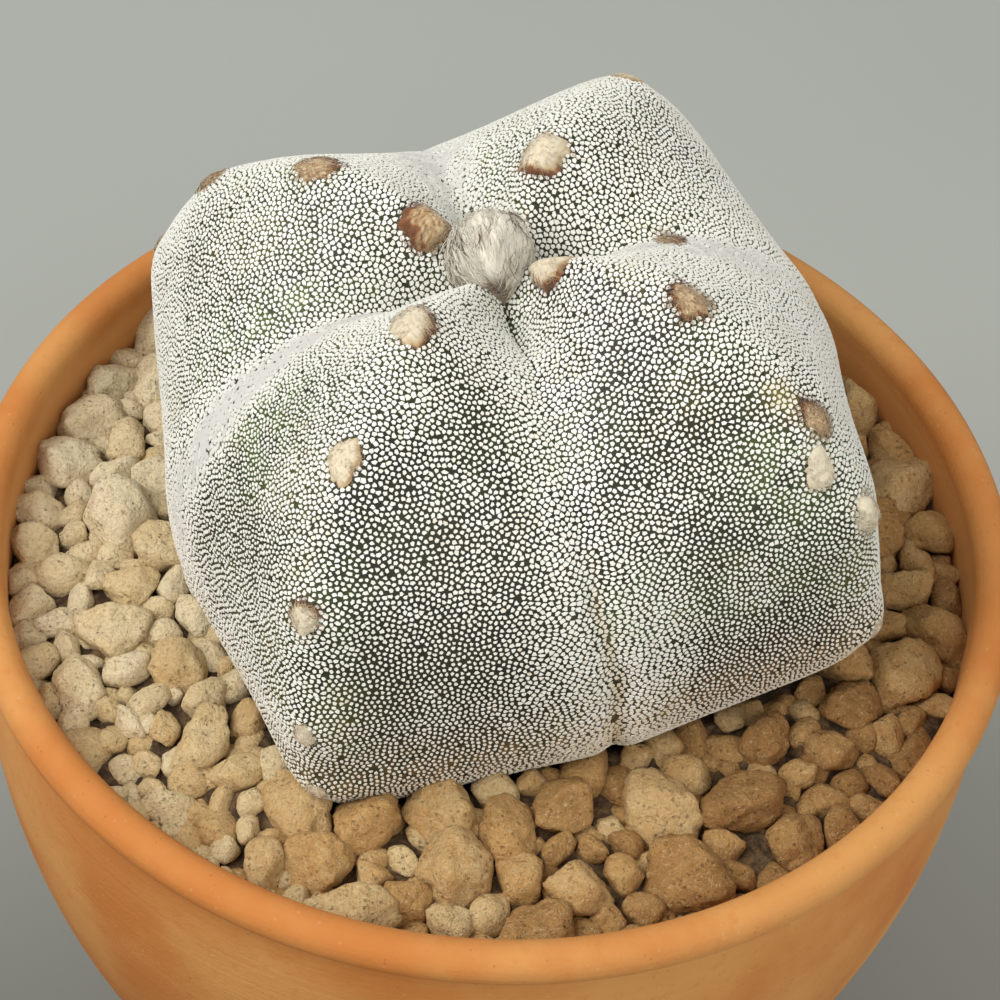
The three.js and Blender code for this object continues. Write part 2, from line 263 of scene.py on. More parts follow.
@dataclass
class Piece:
    """One surface on its way to becoming an object: points in millimetres, faces, and marks on points."""

    name: str
    points: Array
    faces: list[Array]
    marks: dict[str, Array] = field(default_factory=dict)
    smooth: bool = True

    def mesh(self) -> bpy.types.Mesh:
        """Puts the surface into a mesh, in metres.

        Returns:
            The mesh.
        """
        mesh = bpy.data.meshes.new(self.name)
        corners = np.concatenate([faces.ravel() for faces in self.faces])
        sizes = np.concatenate([np.full(len(faces), faces.shape[1]) for faces in self.faces])
        mesh.vertices.add(len(self.points))
        mesh.vertices.foreach_set("co", (self.points * MM).astype(np.float32).ravel())
        mesh.loops.add(len(corners))
        mesh.loops.foreach_set("vertex_index", corners.astype(np.int32))
        mesh.polygons.add(len(sizes))
        mesh.polygons.foreach_set("loop_start", (np.cumsum(sizes) - sizes).astype(np.int32))
        mesh.polygons.foreach_set("use_smooth", np.full(len(sizes), self.smooth))
        mesh.update(calc_edges=True)
        for name, values in self.marks.items():
            mesh.attributes.new(name, "FLOAT", "POINT").data.foreach_set("value", values.astype(np.float32))
        return mesh

    def build(self, material: bpy.types.Material, slot: str, stands_for: str | None = None) -> None:
        """Makes the object, dresses it and lets it ride on the part.

        Args:
            material: Its finish.
            slot: The record's material slot that the finish belongs to; it is not used.
            stands_for: The CAD node that this piece shows instead of, if any.
        """
        made = bpy.data.objects.new(self.name, self.mesh())
        bpy.context.scene.collection.objects.link(made)
        made.data.materials.append(material)
        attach(made, "root")
        if stands_for:
            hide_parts(stands_for)
        triangles = sum(len(faces) * (faces.shape[1] - 2) for faces in self.faces)
        LOG.info("%s: %d triangles", self.name, triangles)


def joined(name: str, parts: list[Piece]) -> Piece:
    """Joins surfaces into one, with their marks.

    Args:
        name: Name of the whole.
        parts: Surfaces of triangles, which carry the same marks.

    Returns:
        The whole.
    """
    starts = np.cumsum([0] + [len(part.points) for part in parts[:-1]])
    faces = [faces + start for start, part in zip(starts, parts) for faces in part.faces]
    marks = {key: np.concatenate([part.marks[key] for part in parts]) for key in parts[0].marks}
    return Piece(name, np.concatenate([part.points for part in parts]), faces, marks)


# Finishes


class Signal:
    """A value in a finish; an expression on it adds Math nodes."""

    def __init__(self, bench: Bench, socket: bpy.types.NodeSocket) -> None:
        """Wraps an output socket of the bench's tree."""
        self.bench, self.socket = bench, socket

    def _math(self, operation: str, first: Signal | float, second: Signal | float) -> Signal:
        """Adds one Math node and returns its value."""
        return self.bench.node("ShaderNodeMath", {"operation": operation}, {0: first, 1: second})

    def __add__(self, other: Signal | float) -> Signal:
        """Sum."""
        return self._math("ADD", self, other)

    def __radd__(self, other: float) -> Signal:
        """Sum, from the right."""
        return self._math("ADD", other, self)

    def __sub__(self, other: Signal | float) -> Signal:
        """Difference."""
        return self._math("SUBTRACT", self, other)

    def __rsub__(self, other: float) -> Signal:
        """Difference, from the right."""
        return self._math("SUBTRACT", other, self)

    def __mul__(self, other: Signal | float) -> Signal:
        """Product."""
        return self._math("MULTIPLY", self, other)

    def __rmul__(self, other: float) -> Signal:
        """Product, from the right."""
        return self._math("MULTIPLY", other, self)

    def __pow__(self, other: Signal | float) -> Signal:
        """Power."""
        return self._math("POWER", self, other)

    def eased(self, low: float, high: float) -> Signal:
        """Smooth step from 0 at low to 1 at high."""
        sockets = {"Value": self, "From Min": low, "From Max": high}
        return self.bench.node("ShaderNodeMapRange", {"interpolation_type": "SMOOTHSTEP"}, sockets)


class Bench:
    """The node tree of one finish, and the place where its nodes are made."""

    def __init__(self, name: str) -> None:
        """Starts a material with its shader and Object coordinates.

        Args:
            name: Name of the material.
        """
        self.material = bpy.data.materials.new(name)
        self.material.use_nodes = True
        self.tree = self.material.node_tree
        self.shader = self.tree.nodes["Principled BSDF"]
        self.place = self.node("ShaderNodeTexCoord", output="Object")

    def node(
        self,
        kind: str,
        settings: dict[str, object] | None = None,
        sockets: dict[str | int, object] | None = None,
        output: str | int = 0,
    ) -> Signal:
        """Adds a node: its settings first, then the values or links of its sockets.

        Args:
            kind: The node's type.
            settings: Its properties; stops are the places and colours of a ramp.
            sockets: A value or a signal for each socket, by name or number.
            output: The output that is wanted.

        Returns:
            That output.
        """
        made = self.tree.nodes.new(kind)
        for key, value in (settings or {}).items():
            if key == "stops":
                self._set_stops(made.color_ramp, value)
            else:
                setattr(made, key, value)
        for key, value in (sockets or {}).items():
            self.feed(made.inputs[key], value)
        return Signal(self, made.outputs[output])

    def _set_stops(self, ramp: bpy.types.ColorRamp, stops: list[tuple[float, Colour]]) -> None:
        """Gives a ramp its places and colours.

        Args:
            ramp: The ramp.
            stops: Place from 0 to 1 and colour of each stop.
        """
        while len(ramp.elements) < len(stops):
            ramp.elements.new(0.5)
        for element, (place, colour) in zip(ramp.elements, stops):
            element.position, element.color = place, (*colour, 1)

    def feed(self, socket: bpy.types.NodeSocket, value: object) -> None:
        """Links a signal to a socket, or sets the socket's own value.

        Args:
            socket: The input.
            value: A signal, a number, a colour or a vector.
        """
        if isinstance(value, Signal):
            self.tree.links.new(value.socket, socket)
        elif socket.type == "RGBA":
            socket.default_value = (*value, 1)
        else:
            socket.default_value = value

    def noise(
        self, size: float, detail: float = 3, roughness: float = 0.5, stretch: Colour | None = None
    ) -> Signal:
        """Fractal noise on Object coordinates, 0 to 1.

        Args:
            size: Size of its features, in millimetres.
            detail: How many finer layers it has.
            roughness: How strong they are.
            stretch: Scale along x, y and z, if not even.

        Returns:
            The noise.
        """
        place = self.place
        if stretch:
            sockets = {"Vector": place, "Scale": stretch}
            place = self.node("ShaderNodeMapping", {"vector_type": "POINT"}, sockets)
        sockets = {"Vector": place, "Scale": 1 / (size * MM), "Detail": detail, "Roughness": roughness}
        return self.node("ShaderNodeTexNoise", {}, sockets)

    def cells(self, size: float, randomness: float = 1) -> Signal:
        """Distance to the nearest of points scattered size millimetres apart, as a share of it."""
        sockets = {"Vector": self.place, "Scale": 1 / (size * MM), "Randomness": randomness}
        return self.node("ShaderNodeTexVoronoi", {}, sockets)

    def mark(self, name: str) -> Signal:
        """A mark that the mesh carries on its points, by its name; 0 where it carries none."""
        return self.node("ShaderNodeAttribute", {"attribute_name": name}, output="Fac")

    def axis(self, name: str) -> Signal:
        """The X, Y or Z of the Object coordinates, in metres."""
        return self.node("ShaderNodeSeparateXYZ", {}, {"Vector": self.place}, output=name)

    def mix(self, share: Signal | float, first: Signal | Colour, second: Signal | Colour) -> Signal:
        """Mixes two colours: a share of 0 gives the first and 1 the second."""
        sockets = {0: share, 6: first, 7: second}
        return self.node("ShaderNodeMix", {"data_type": "RGBA", "blend_type": "MIX"}, sockets, output=2)

    def bump(self, height: Signal, depth: float, strength: float = 1, under: Signal | None = None) -> Signal:
        """Turns a height into a bent normal.

        Args:
            height: Heights from 0 to 1.
            depth: Depth of a height of 1, in millimetres.
            strength: How much of it shows.
            under: A normal that this one goes over.

        Returns:
            The normal.
        """
        sockets = {"Height": height, "Distance": depth * MM, "Strength": strength}
        if under is not None:
            sockets["Normal"] = under
        return self.node("ShaderNodeBump", {}, sockets)

    def finish(self, **sockets: object) -> bpy.types.Material:
        """Feeds the shader's sockets and returns the material.

        Args:
            sockets: Values or signals, by the socket's name with _ for each space.

        Returns:
            The finished material.
        """
        for key, value in sockets.items():
            self.feed(self.shader.inputs[key.replace("_", " ")], value)
        return self.material


@dataclass(frozen=True)
class Terracotta:
    """Plain fired clay: warm orange tan, cloudy, with pale and dark grit, and a paler inside wall, which is
    painted light against the shade it stands in.
    """

    light: Colour = paint(208, 149, 84)
    deep: Colour = paint(193, 119, 55)
    painted_inside_light: Colour = paint(212, 150, 88)
    chalk: Colour = paint(228, 190, 150)
    grit: Colour = paint(120, 70, 42)
    inside_radius: tuple[float, float] = (0.0512, 0.0524)
    inside_foot: tuple[float, float] = (0.052, 0.058)
    inside_rim: tuple[float, float] = (0.0795, 0.0825)

    def material(self) -> bpy.types.Material:
        """Makes the clay: clouds, grit by scattered cells, and fine turning lines in the bump."""
        bench = Bench("terracotta")
        x, y, z = (bench.axis(name) for name in "XYZ")
        # The inside wall gets painted light: a paler colour that lifts it out of the shade it stands in.
        inside = 1 - ((x * x + y * y) ** 0.5).eased(*self.inside_radius)
        inside = inside * z.eased(*self.inside_foot) * (1 - z.eased(*self.inside_rim))
        clouds = bench.noise(22, 4, 0.55).eased(0.35, 0.68)
        body = bench.mix(clouds, self.light, self.deep)
        body = bench.mix(bench.noise(1.4, 3, 0.6).eased(0.52, 0.74) * 0.35, body, self.deep)
        body = bench.mix(inside * (0.75 + bench.noise(9) * 0.35), body, self.painted_inside_light)
        specks = 1 - bench.cells(1.1).eased(0.12, 0.2)
        chosen = bench.noise(3.1, 1).eased(0.56, 0.6)
        body = bench.mix(specks * chosen * 0.15, body, self.chalk)
        grains = (1 - bench.cells(0.9, 0.9).eased(0.1, 0.17)) * bench.noise(2.3, 1).eased(0.57, 0.62)
        body = bench.mix(grains * 0.35, body, self.grit)
        lines = bench.noise(1.1, 2, 0.5, (0.06, 0.06, 1.6))
        relief = bench.bump(lines, 0.12, 0.5)
        relief = bench.bump(bench.noise(0.45, 4, 0.6), 0.1, 0.6, relief)
        roughness = 0.66 + bench.noise(6) * 0.2
        return bench.finish(Base_Color=body, Roughness=roughness, Normal=relief, Specular_IOR_Level=0.35)


@dataclass(frozen=True)
class Pumice:
    """Porous pale stone: cream to tan from stone to stone, and tan as painted shade towards the right and the
    front; mottled, pitted and darker in its pits.
    """

    cream: Colour = paint(246, 230, 194)
    straw: Colour = paint(230, 204, 154)
    tan: Colour = paint(208, 166, 108)
    umber: Colour = paint(168, 126, 76)
    dark: Colour = paint(96, 72, 46)

    def material(self) -> bpy.types.Material:
        """Makes the stone: its mark, its own tone with painted shade, picks its colour, and noise gives its
        grain and its darker pits.
        """
        bench = Bench("pumice")
        # The mark holds each stone's own tone and painted shade, tan towards the right and the front.
        tone_and_shade = bench.mark("tone_and_shade") + (bench.noise(2.8, 4, 0.6) - 0.5) * 0.5
        stops = [(0.0, self.cream), (0.38, self.straw), (0.7, self.tan), (1.0, self.umber)]
        body = bench.node("ShaderNodeValToRGB", {"stops": stops}, {"Fac": tone_and_shade})
        grain = bench.noise(0.42, 3, 0.75)
        body = bench.mix(grain.eased(0.5, 0.72) * 0.5, body, self.umber)
        body = bench.mix((1 - grain.eased(0.3, 0.46)) * 0.35, body, self.cream)
        # Darker in the pits: the dark colour goes where the bump sinks the pores.
        pores = (1 - bench.cells(0.62).eased(0.1, 0.42)) * bench.noise(1.3, 3, 0.6).eased(0.48, 0.6)
        body = bench.mix(pores * 0.4, body, self.dark)
        relief = bench.bump(bench.noise(1.7, 6, 0.7), 1.1, 1.0)
        relief = bench.bump(1 - pores, 0.3, 0.8, relief)
        relief = bench.bump(grain, 0.3, 0.9, relief)
        return bench.finish(Base_Color=body, Roughness=0.92, Normal=relief, Specular_IOR_Level=0.2)


@dataclass(frozen=True)
class Soil:
    """Dark, moist potting mix and grit between the stones."""

    dark: Colour = paint(66, 50, 34)
    light: Colour = paint(126, 100, 68)

    def material(self) -> bpy.types.Material:
        """Makes the mix: crumbs by noise of two sizes."""
        bench = Bench("potting_mix")
        crumbs = bench.noise(1.6, 5, 0.7)
        body = bench.mix(crumbs.eased(0.42, 0.7), self.dark, self.light)
        body = bench.mix((1 - bench.cells(1.4).eased(0.1, 0.3)) * 0.5, body, self.light)
        relief = bench.bump(crumbs, 1.2, 0.9)
        return bench.finish(Base_Color=body, Roughness=0.95, Normal=relief)


@dataclass(frozen=True)
class CactusSkin:
    """The plant's skin between the flecks: dark olive, greener in patches, corky tan in the folds."""

    olive: Colour = paint(40, 41, 20)
    dark: Colour = paint(26, 26, 15)
    green: Colour = paint(84, 104, 44)
    yellow: Colour = paint(122, 110, 50)
    cork: Colour = paint(150, 124, 86)

    def material(self) -> bpy.types.Material:
        """Makes the skin: the marks green, ochre and cork say where those colours come through."""
        bench = Bench("cactus_skin")
        body = bench.mix(bench.noise(7, 3).eased(0.36, 0.66), self.olive, self.dark)
        body = bench.mix(bench.mark("green") * bench.noise(2.4, 3).eased(0.3, 0.62), body, self.green)
        body = bench.mix(bench.mark("ochre") * bench.noise(1.1, 3).eased(0.3, 0.6), body, self.yellow)
        body = bench.mix(bench.mark("cork") * bench.noise(0.9, 3).eased(0.36, 0.6) * 0.8, body, self.cork)
        relief = bench.bump(bench.noise(0.5, 3, 0.6), 0.12, 0.6)
        return bench.finish(Base_Color=body, Roughness=0.58, Normal=relief, Specular_IOR_Level=0.4)


@dataclass(frozen=True)
class Felt:
    """Matted plant hair; the mark browned runs it from clean wool to dark fibre, and the mark felted mixes in
    painted shade, a cool dull tone for felted bands seen at a grazing angle.
    """

    name: str
    clean: Colour
    tan: Colour = paint(196, 158, 116)
    rust: Colour = paint(150, 98, 66)
    dark: Colour = paint(84, 56, 42)
    # Painted shade for felted bands seen at a grazing angle.
    painted_grazing_shade: Colour = paint(207, 207, 203)
    fuzz: float = 0.4

    def material(self) -> bpy.types.Material:
        """Makes the felt: a ramp on the mark, broken up by fine noise, under a soft sheen."""
        bench = Bench(self.name)
        browned = bench.mark("browned") + (bench.noise(0.5, 3, 0.6) - 0.5) * 0.18
        stops = [(0.0, self.clean), (0.4, self.tan), (0.7, self.rust), (1.0, self.dark)]
        body = bench.node("ShaderNodeValToRGB", {"stops": stops}, {"Fac": browned})
        # Painted shade: felted bands, seen at a grazing angle, take a cool dull tone.
        body = bench.mix(bench.mark("felted"), body, self.painted_grazing_shade)
        relief = bench.bump(bench.noise(0.3, 3, 0.6), 0.1, 0.5)
        return bench.finish(Base_Color=body, Roughness=0.95, Normal=relief, Sheen_Weight=self.fuzz,
                            Specular_IOR_Level=0.1)


@dataclass(frozen=True)
class StudioPaper:
    """A pale sheet under the pot, with painted shadow round the pot on the camera's side."""

    tone: Colour = paint(175, 180, 176)
    # Painted shadow: the dark tone that the sheet takes by the pot on the camera's side.
    near: Colour = paint(62, 64, 58)
    across: tuple[float, float] = (-0.07, 0.1)
    along: tuple[float, float] = (-0.12, 0.1)
    away: tuple[float, float] = (0.09, 0.21)

    def material(self) -> bpy.types.Material:
        """Makes the paper: painted shadow darkens it by the pot towards the camera, more on the left and
        fading with distance from the pot, and it is very slightly uneven.
        """
        bench = Bench("studio_paper")
        x, y = bench.axis("X"), bench.axis("Y")
        # Painted shadow: strongest on the left and towards the camera, gone a short way from the pot.
        beside = 1.15 - x.eased(*self.across) * 0.65
        beside = beside * (1 - ((x * x + y * y) ** 0.5).eased(*self.away))
        body = bench.mix((1 - y.eased(*self.along)) * beside, self.tone, self.near)
        body = bench.mix(bench.noise(160, 2) * 0.12, body, self.near)
        return bench.finish(Base_Color=body, Roughness=0.9, Specular_IOR_Level=0.2)


# The plant's form


@dataclass
class RibbedForm:
    """The four-ribbed body as a surface of two parameters, the turn round it and the angle down it.

    The turn counts ribs: 0, 1, 2 and 3 are the crests and the halves between them the grooves. The
    angle runs from 0 at the crown through 90 at the widest level to 180 at the middle of the base.
    """

    place: tuple[float, float, float] = (2.0, 7.1, 85.1)
    lean: tuple[float, float] = (-1.8, -8.8)
    azimuths: tuple[float, ...] = (-112.6, -29.4, 67.3, 154.1)
    reaches: tuple[float, ...] = (44.7, 42.3, 42.1, 44.4)
    rise: float = 35.5
    power: float = 2.5
    groove_share: float = 0.839
    groove_drop: float = 7.1
    groove_drop_width: float = 6
    crown_dip: float = 7.9
    crown_dip_width: float = 10.2
    face_bulge: float = 0.3
    crest_softness: float = 0.22
    crest_sharpening: float = 0.12
    groove_softness: float = 0.05
    crease_depths: tuple[float, ...] = (1.0, 0.4, 0.4, 0.4)
    crease_width: float = 0.06
    crease_wander: float = 0.02
    skirt_depth: float = 18
    areole_angles: tuple[tuple[float, ...], ...] = (
        (15.7, 38, 63, 84, 96),
        (6, 27, 54, 74, 97),
        (11, 43, 68, 88),
        (5.6, 21, 45, 70, 90),
    )
    swell: float = 0.7
    swell_angle: float = 5
    swell_width: float = 0.22

    def __post_init__(self) -> None:
        """Works out the turn that leans the plant: about Y first, then about X."""
        about_x, about_y = (math.radians(a) for a in self.lean)
        self.turned = np.array(Matrix.Rotation(about_x, 3, "X") @ Matrix.Rotation(about_y, 3, "Y"))

    def placed(self, points: Array) -> Array:
        """Takes points from the plant's own frame into the pot's."""
        return points @ self.turned.T + np.array(self.place)

    def unplaced(self, points: Array) -> Array:
        """Takes points from the pot's frame into the plant's own."""
        return (points - np.array(self.place)) @ self.turned

    def profile(self, reach: Array, rise: Array, angle: Array) -> tuple[Array, Array]:
        """Superellipse quarters: radius and height are powers of the sine and cosine of the angle.

        Args:
            reach: Radius at the widest level.
            rise: Height above it at the crown.
            angle: Degrees down from the crown.

        Returns:
            Radius and height.
        """
        power = 2 / self.power
        above, below = np.radians(np.clip(angle, 0, 90)), np.radians(np.clip(angle - 90, 0, 90))
        radius = reach * np.abs(np.where(angle <= 90, np.sin(above), np.cos(below))) ** power
        up = rise * np.abs(np.cos(above)) ** power
        return radius, np.where(angle <= 90, up, -self.skirt_depth * np.sin(below) ** power)

    def swell_at(self, rib: Array, angle: Array) -> Array:
        """How much a crest swells near its areoles: the highest of the bell curves round them.

        Args:
            rib: Number of the rib.
            angle: Degrees down from the crown.

        Returns:
            The swell in millimetres.
        """
        longest = max(len(angles) for angles in self.areole_angles)
        table = np.array([[*angles, *[1e3] * (longest - len(angles))] for angles in self.areole_angles])
        return self.swell * np.exp(-(((angle[..., None] - table[rib]) / self.swell_angle) ** 2)).max(-1)

    def skin(self, turn: Array | float, angle: Array | float) -> Array:
        """Points of the skin, in the plant's frame.

        Between crest and groove the face is a straight chord in plan, rounded over at both ends, and
        its height runs from the crest's curve to the groove's. The fold in the groove is a narrow
        bell curve that wanders a little, and the crown is dipped by a wide one.

        Args:
            turn: Places round the plant, in ribs.
            angle: Degrees down from the crown.

        Returns:
            Points, the last axis being x, y, z.
        """
        turn, angle = np.broadcast_arrays(np.asarray(turn, float), np.asarray(angle, float))
        rib = np.floor(turn).astype(int) % 4
        share = turn - np.floor(turn)
        after = (rib + 1) % 4
        azimuths, reaches = np.array(self.azimuths), np.array(self.reaches)
        span = (azimuths[after] - azimuths[rib]) % 360
        nearest = np.where(share <= 0.5, rib, after)
        from_crest = 1 - np.abs(1 - 2 * share)
        softness = self.crest_softness - self.crest_sharpening * np.minimum(angle / 90, 1)
        across = 1 - softened(1 - softened(from_crest, softness), self.groove_softness)
        crest_radius, crest_z = self.profile(reaches[nearest], self.rise, angle)
        drop = self.groove_drop * (1 - np.exp(-((crest_radius / self.groove_drop_width) ** 2)))
        groove_reach = self.groove_share * (reaches[rib] + reaches[after]) / 2
        groove_radius, groove_z = self.profile(groove_reach, self.rise - drop, angle)
        half = np.radians(span / 2)
        chord = crest_radius * np.sin(half * across) + groove_radius * np.sin(half * (1 - across))
        upper = np.sin(np.radians(np.minimum(angle, 90)))
        swell = self.swell_at(nearest, angle) * np.exp(-((from_crest / self.swell_width) ** 2))
        fold = 2 * (share - 0.5) - self.crease_wander * self.wander(rib, angle)
        crease = np.array(self.crease_depths)[rib] * upper * np.exp(-((fold / self.crease_width) ** 2))
        bulge = self.face_bulge * np.sin(np.pi * across) * upper
        radius = crest_radius * groove_radius * np.sin(half) / np.maximum(chord, 1e-9)
        radius = radius + bulge - crease + swell * upper
        height = crest_z + (groove_z - crest_z) * across + swell * (1 - upper)
        dip = self.crown_dip * np.exp(-((radius / self.crown_dip_width) ** 2))
        azimuth = np.radians(azimuths[rib] + share * span)
        return np.stack([radius * np.cos(azimuth), radius * np.sin(azimuth), height - dip], -1)

    def from_fold(self, turn: Array, angle: Array) -> Array:
        """How far places lie from the nearest fold, as a share of the way from it, 0, to a crest, 1."""
        rib = np.floor(turn)
        return np.abs(2 * (turn - rib - 0.5) - self.crease_wander * self.wander(rib, angle))

    def wander(self, rib: Array, angle: Array) -> Array:
        """How a fold strays from its groove: three sine waves down it, -1 to 1.

        Args:
            rib: Number of the rib before the groove.
            angle: Degrees down from the crown.

        Returns:
            The stray.
        """
        start = 1.7 * rib
        waves = np.sin(angle / 4.1 + start) + 0.6 * np.sin(angle / 1.9 + 2 * start)
        return (waves + 1.2 * np.sin(angle / 11 + 3 * start)) / 2.8

    def normals(self, turn: Array, angle: Array) -> tuple[Array, Array, Array]:
        """Directions on the skin: the slope down it, the slope round it, and their cross product.

        Args:
            turn: Places round the plant, in ribs.
            angle: Degrees down from the crown.

        Returns:
            Movement per degree down, movement per rib round, and the outward normal.
        """
        step = 1e-3
        down = (self.skin(turn, angle + step) - self.skin(turn, angle - step)) / (2 * step)
        around = (self.skin(turn + step, angle) - self.skin(turn - step, angle)) / (2 * step)
        return down, around, unit(np.cross(down, around))

    def axes(self, turn: float, angle: float) -> tuple[Array, Array]:
        """A place on the skin, and its directions down the skin, round it and outwards, as rows."""
        down, _, normal = self.normals(np.array(turn), np.array(angle))
        return self.skin(turn, angle), np.array([unit(down), np.cross(normal, unit(down)), normal])

    def upon(self, turn: float, angle: float, down: Array, across: Array, height: Array) -> Array:
        """Points near the skin: steps in the plane that touches it at a place, then a height out of it.

        The skin's own point under each place in that plane is found by Newton's method: its slopes
        say how far to step in turn and angle, a few times over.

        Args:
            turn: Turn of the place.
            angle: Angle of the place.
            down: Steps down the skin, in millimetres.
            across: Steps round it, in millimetres.
            height: Heights over it, in millimetres.

        Returns:
            The points, in the plant's frame.
        """
        middle, axes = self.axes(turn, angle)
        turns, angles = np.full(np.shape(down), float(turn)), np.full(np.shape(down), float(angle))
        for _ in range(9):
            own = (self.skin(turns, angles) - middle) @ axes.T
            short_down, short_across = down - own[..., 0], across - own[..., 1]
            slopes = [slope @ axes[:2].T for slope in self.normals(turns, angles)[:2]]
            (dd, da), (td, ta) = ((slope[..., 0], slope[..., 1]) for slope in slopes)
            scale = dd * ta - td * da
            scale = np.where(np.abs(scale) < 1e-4, 1e-4, scale)
            angles = np.maximum(angles + np.clip((short_down * ta - td * short_across) / scale, -3, 3), 0.6)
            turns = turns + np.clip((dd * short_across - da * short_down) / scale, -0.1, 0.1)
        return self.skin(turns, angles) + height[..., None] * axes[2]

    def turn_at(self, azimuth: Array) -> Array:
        """The turn, from 0 to 4, at an azimuth in degrees in the plant's frame."""
        starts = (np.array(self.azimuths) - self.azimuths[0]) % 360
        return np.interp((azimuth - self.azimuths[0]) % 360, [*starts, 360], np.arange(5))

    def widest(self, x: Array, y: Array) -> Array:
        """Radius of the skin at the widest level, towards a point in the plant's frame."""
        skin = self.skin(self.turn_at(np.degrees(np.arctan2(y, x))), 90)
        return np.hypot(skin[..., 0], skin[..., 1])


# Pieces


@dataclass
class Pot:
    """The bowl pot: a wall that draws in downwards, a beaded rim, a thick floor with a drain hole."""

    height: float = 84
    rim_radius: float = 55
    lip_radius: float = 2.1
    belly_radius: float = 53.9
    belly_z: float = 68.8
    wall_curve: float = 0.0049
    wall_thickness: float = 3.5
    floor_thickness: float = 7
    drain_radius: float = 4.5
    drain_edge: float = 0.4
    foot_round: float = 1
    floor_round: float = 2.4
    wall_from: float = 3
    wall_to: float = 78.6
    neck: tuple[tuple[float, float], ...] = ((53.42, 79.25), (53.6, 79.72))
    bead_from: float = -52
    inside_from: float = 80.6
    segments: int = 256
    unevenness: float = 0.07

    @property
    def lip_z(self) -> float:
        """Height of the middle of the rim's bead."""
        return self.height - self.lip_radius

    @property
    def lip_centre(self) -> float:
        """Radius of the middle of the rim's bead."""
        return self.rim_radius - self.lip_radius

    def outer(self, z: Array | float) -> Array | float:
        """Radius of the outer wall: the belly's, less a square of the height from it."""
        return self.belly_radius - self.wall_curve * (z - self.belly_z) ** 2

    def inner(self, z: Array | float) -> Array | float:
        """Radius of the inner wall: even thickness below the belly, straight up to the lip above it.

        Args:
            z: Height.

        Returns:
            The radius there.
        """
        share = np.clip((z - self.belly_z) / (self.lip_z - self.belly_z), 0, 1)
        above = self.belly_radius - self.wall_thickness
        above = above + (self.lip_centre - self.lip_radius - above) * share
        return np.where(z <= self.belly_z, self.outer(z) - self.wall_thickness, above)

    def profile(self) -> Array:
        """The wall's section, from the drain hole out along the foot, up, over the rim and back in.

        Returns:
            Radius and height of each point.
        """
        quarter = np.radians(np.linspace(-90, 0, 5))
        foot = self.outer(0) - self.foot_round + self.foot_round * np.cos(quarter)
        foot_z = self.foot_round + self.foot_round * np.sin(quarter)
        wall_z = np.linspace(self.wall_from, self.wall_to, 26)
        bead = np.radians(np.linspace(self.bead_from, 180, 20))
        bead_r = self.lip_centre + self.lip_radius * np.cos(bead)
        bead_z = self.lip_z + self.lip_radius * np.sin(bead)
        inside_z = np.linspace(self.inside_from, self.floor_thickness + self.floor_round, 16)
        corner = np.radians(np.linspace(0, 90, 5))
        corner_r = self.inner(self.floor_thickness) - self.floor_round + self.floor_round * np.cos(corner)
        corner_z = self.floor_thickness + self.floor_round - self.floor_round * np.sin(corner)
        hole, edge, top = self.drain_radius, self.drain_edge, self.floor_thickness
        drain = [(hole + edge, top), (hole, top - edge), (hole, edge), (hole + edge, 0)]
        runs = [(foot, foot_z), (self.outer(wall_z), wall_z), tuple(zip(*self.neck)), (bead_r, bead_z),
                (self.inner(inside_z), inside_z), (corner_r, corner_z), tuple(zip(*drain))]
        return np.concatenate([np.stack([np.asarray(r, float), np.asarray(z, float)], -1) for r, z in runs])

    def piece(self) -> Piece:
        """Turns the section about Z, very slightly out of round, as fired clay is.

        Returns:
            The pot's surface.
        """
        profile = self.profile()[::-1]
        azimuth = np.linspace(0, 2 * np.pi, self.segments, endpoint=False)
        radius = profile[:, :1] + self.unevenness * np.sin(2 * azimuth + profile[:, 1:] / 30)
        radius = np.minimum(radius, self.rim_radius)
        height = np.broadcast_to(profile[:, 1:], radius.shape)
        points = np.stack([radius * np.cos(azimuth), radius * np.sin(azimuth), height], -1)
        faces = grid_faces(len(profile), self.segments, looped=True)
        return Piece("pot_bowl", points.reshape(-1, 3), [faces])

    def build(self) -> None:
        """Makes the pot."""
        self.piece().build(Terracotta().material(), "terracotta", "pot")


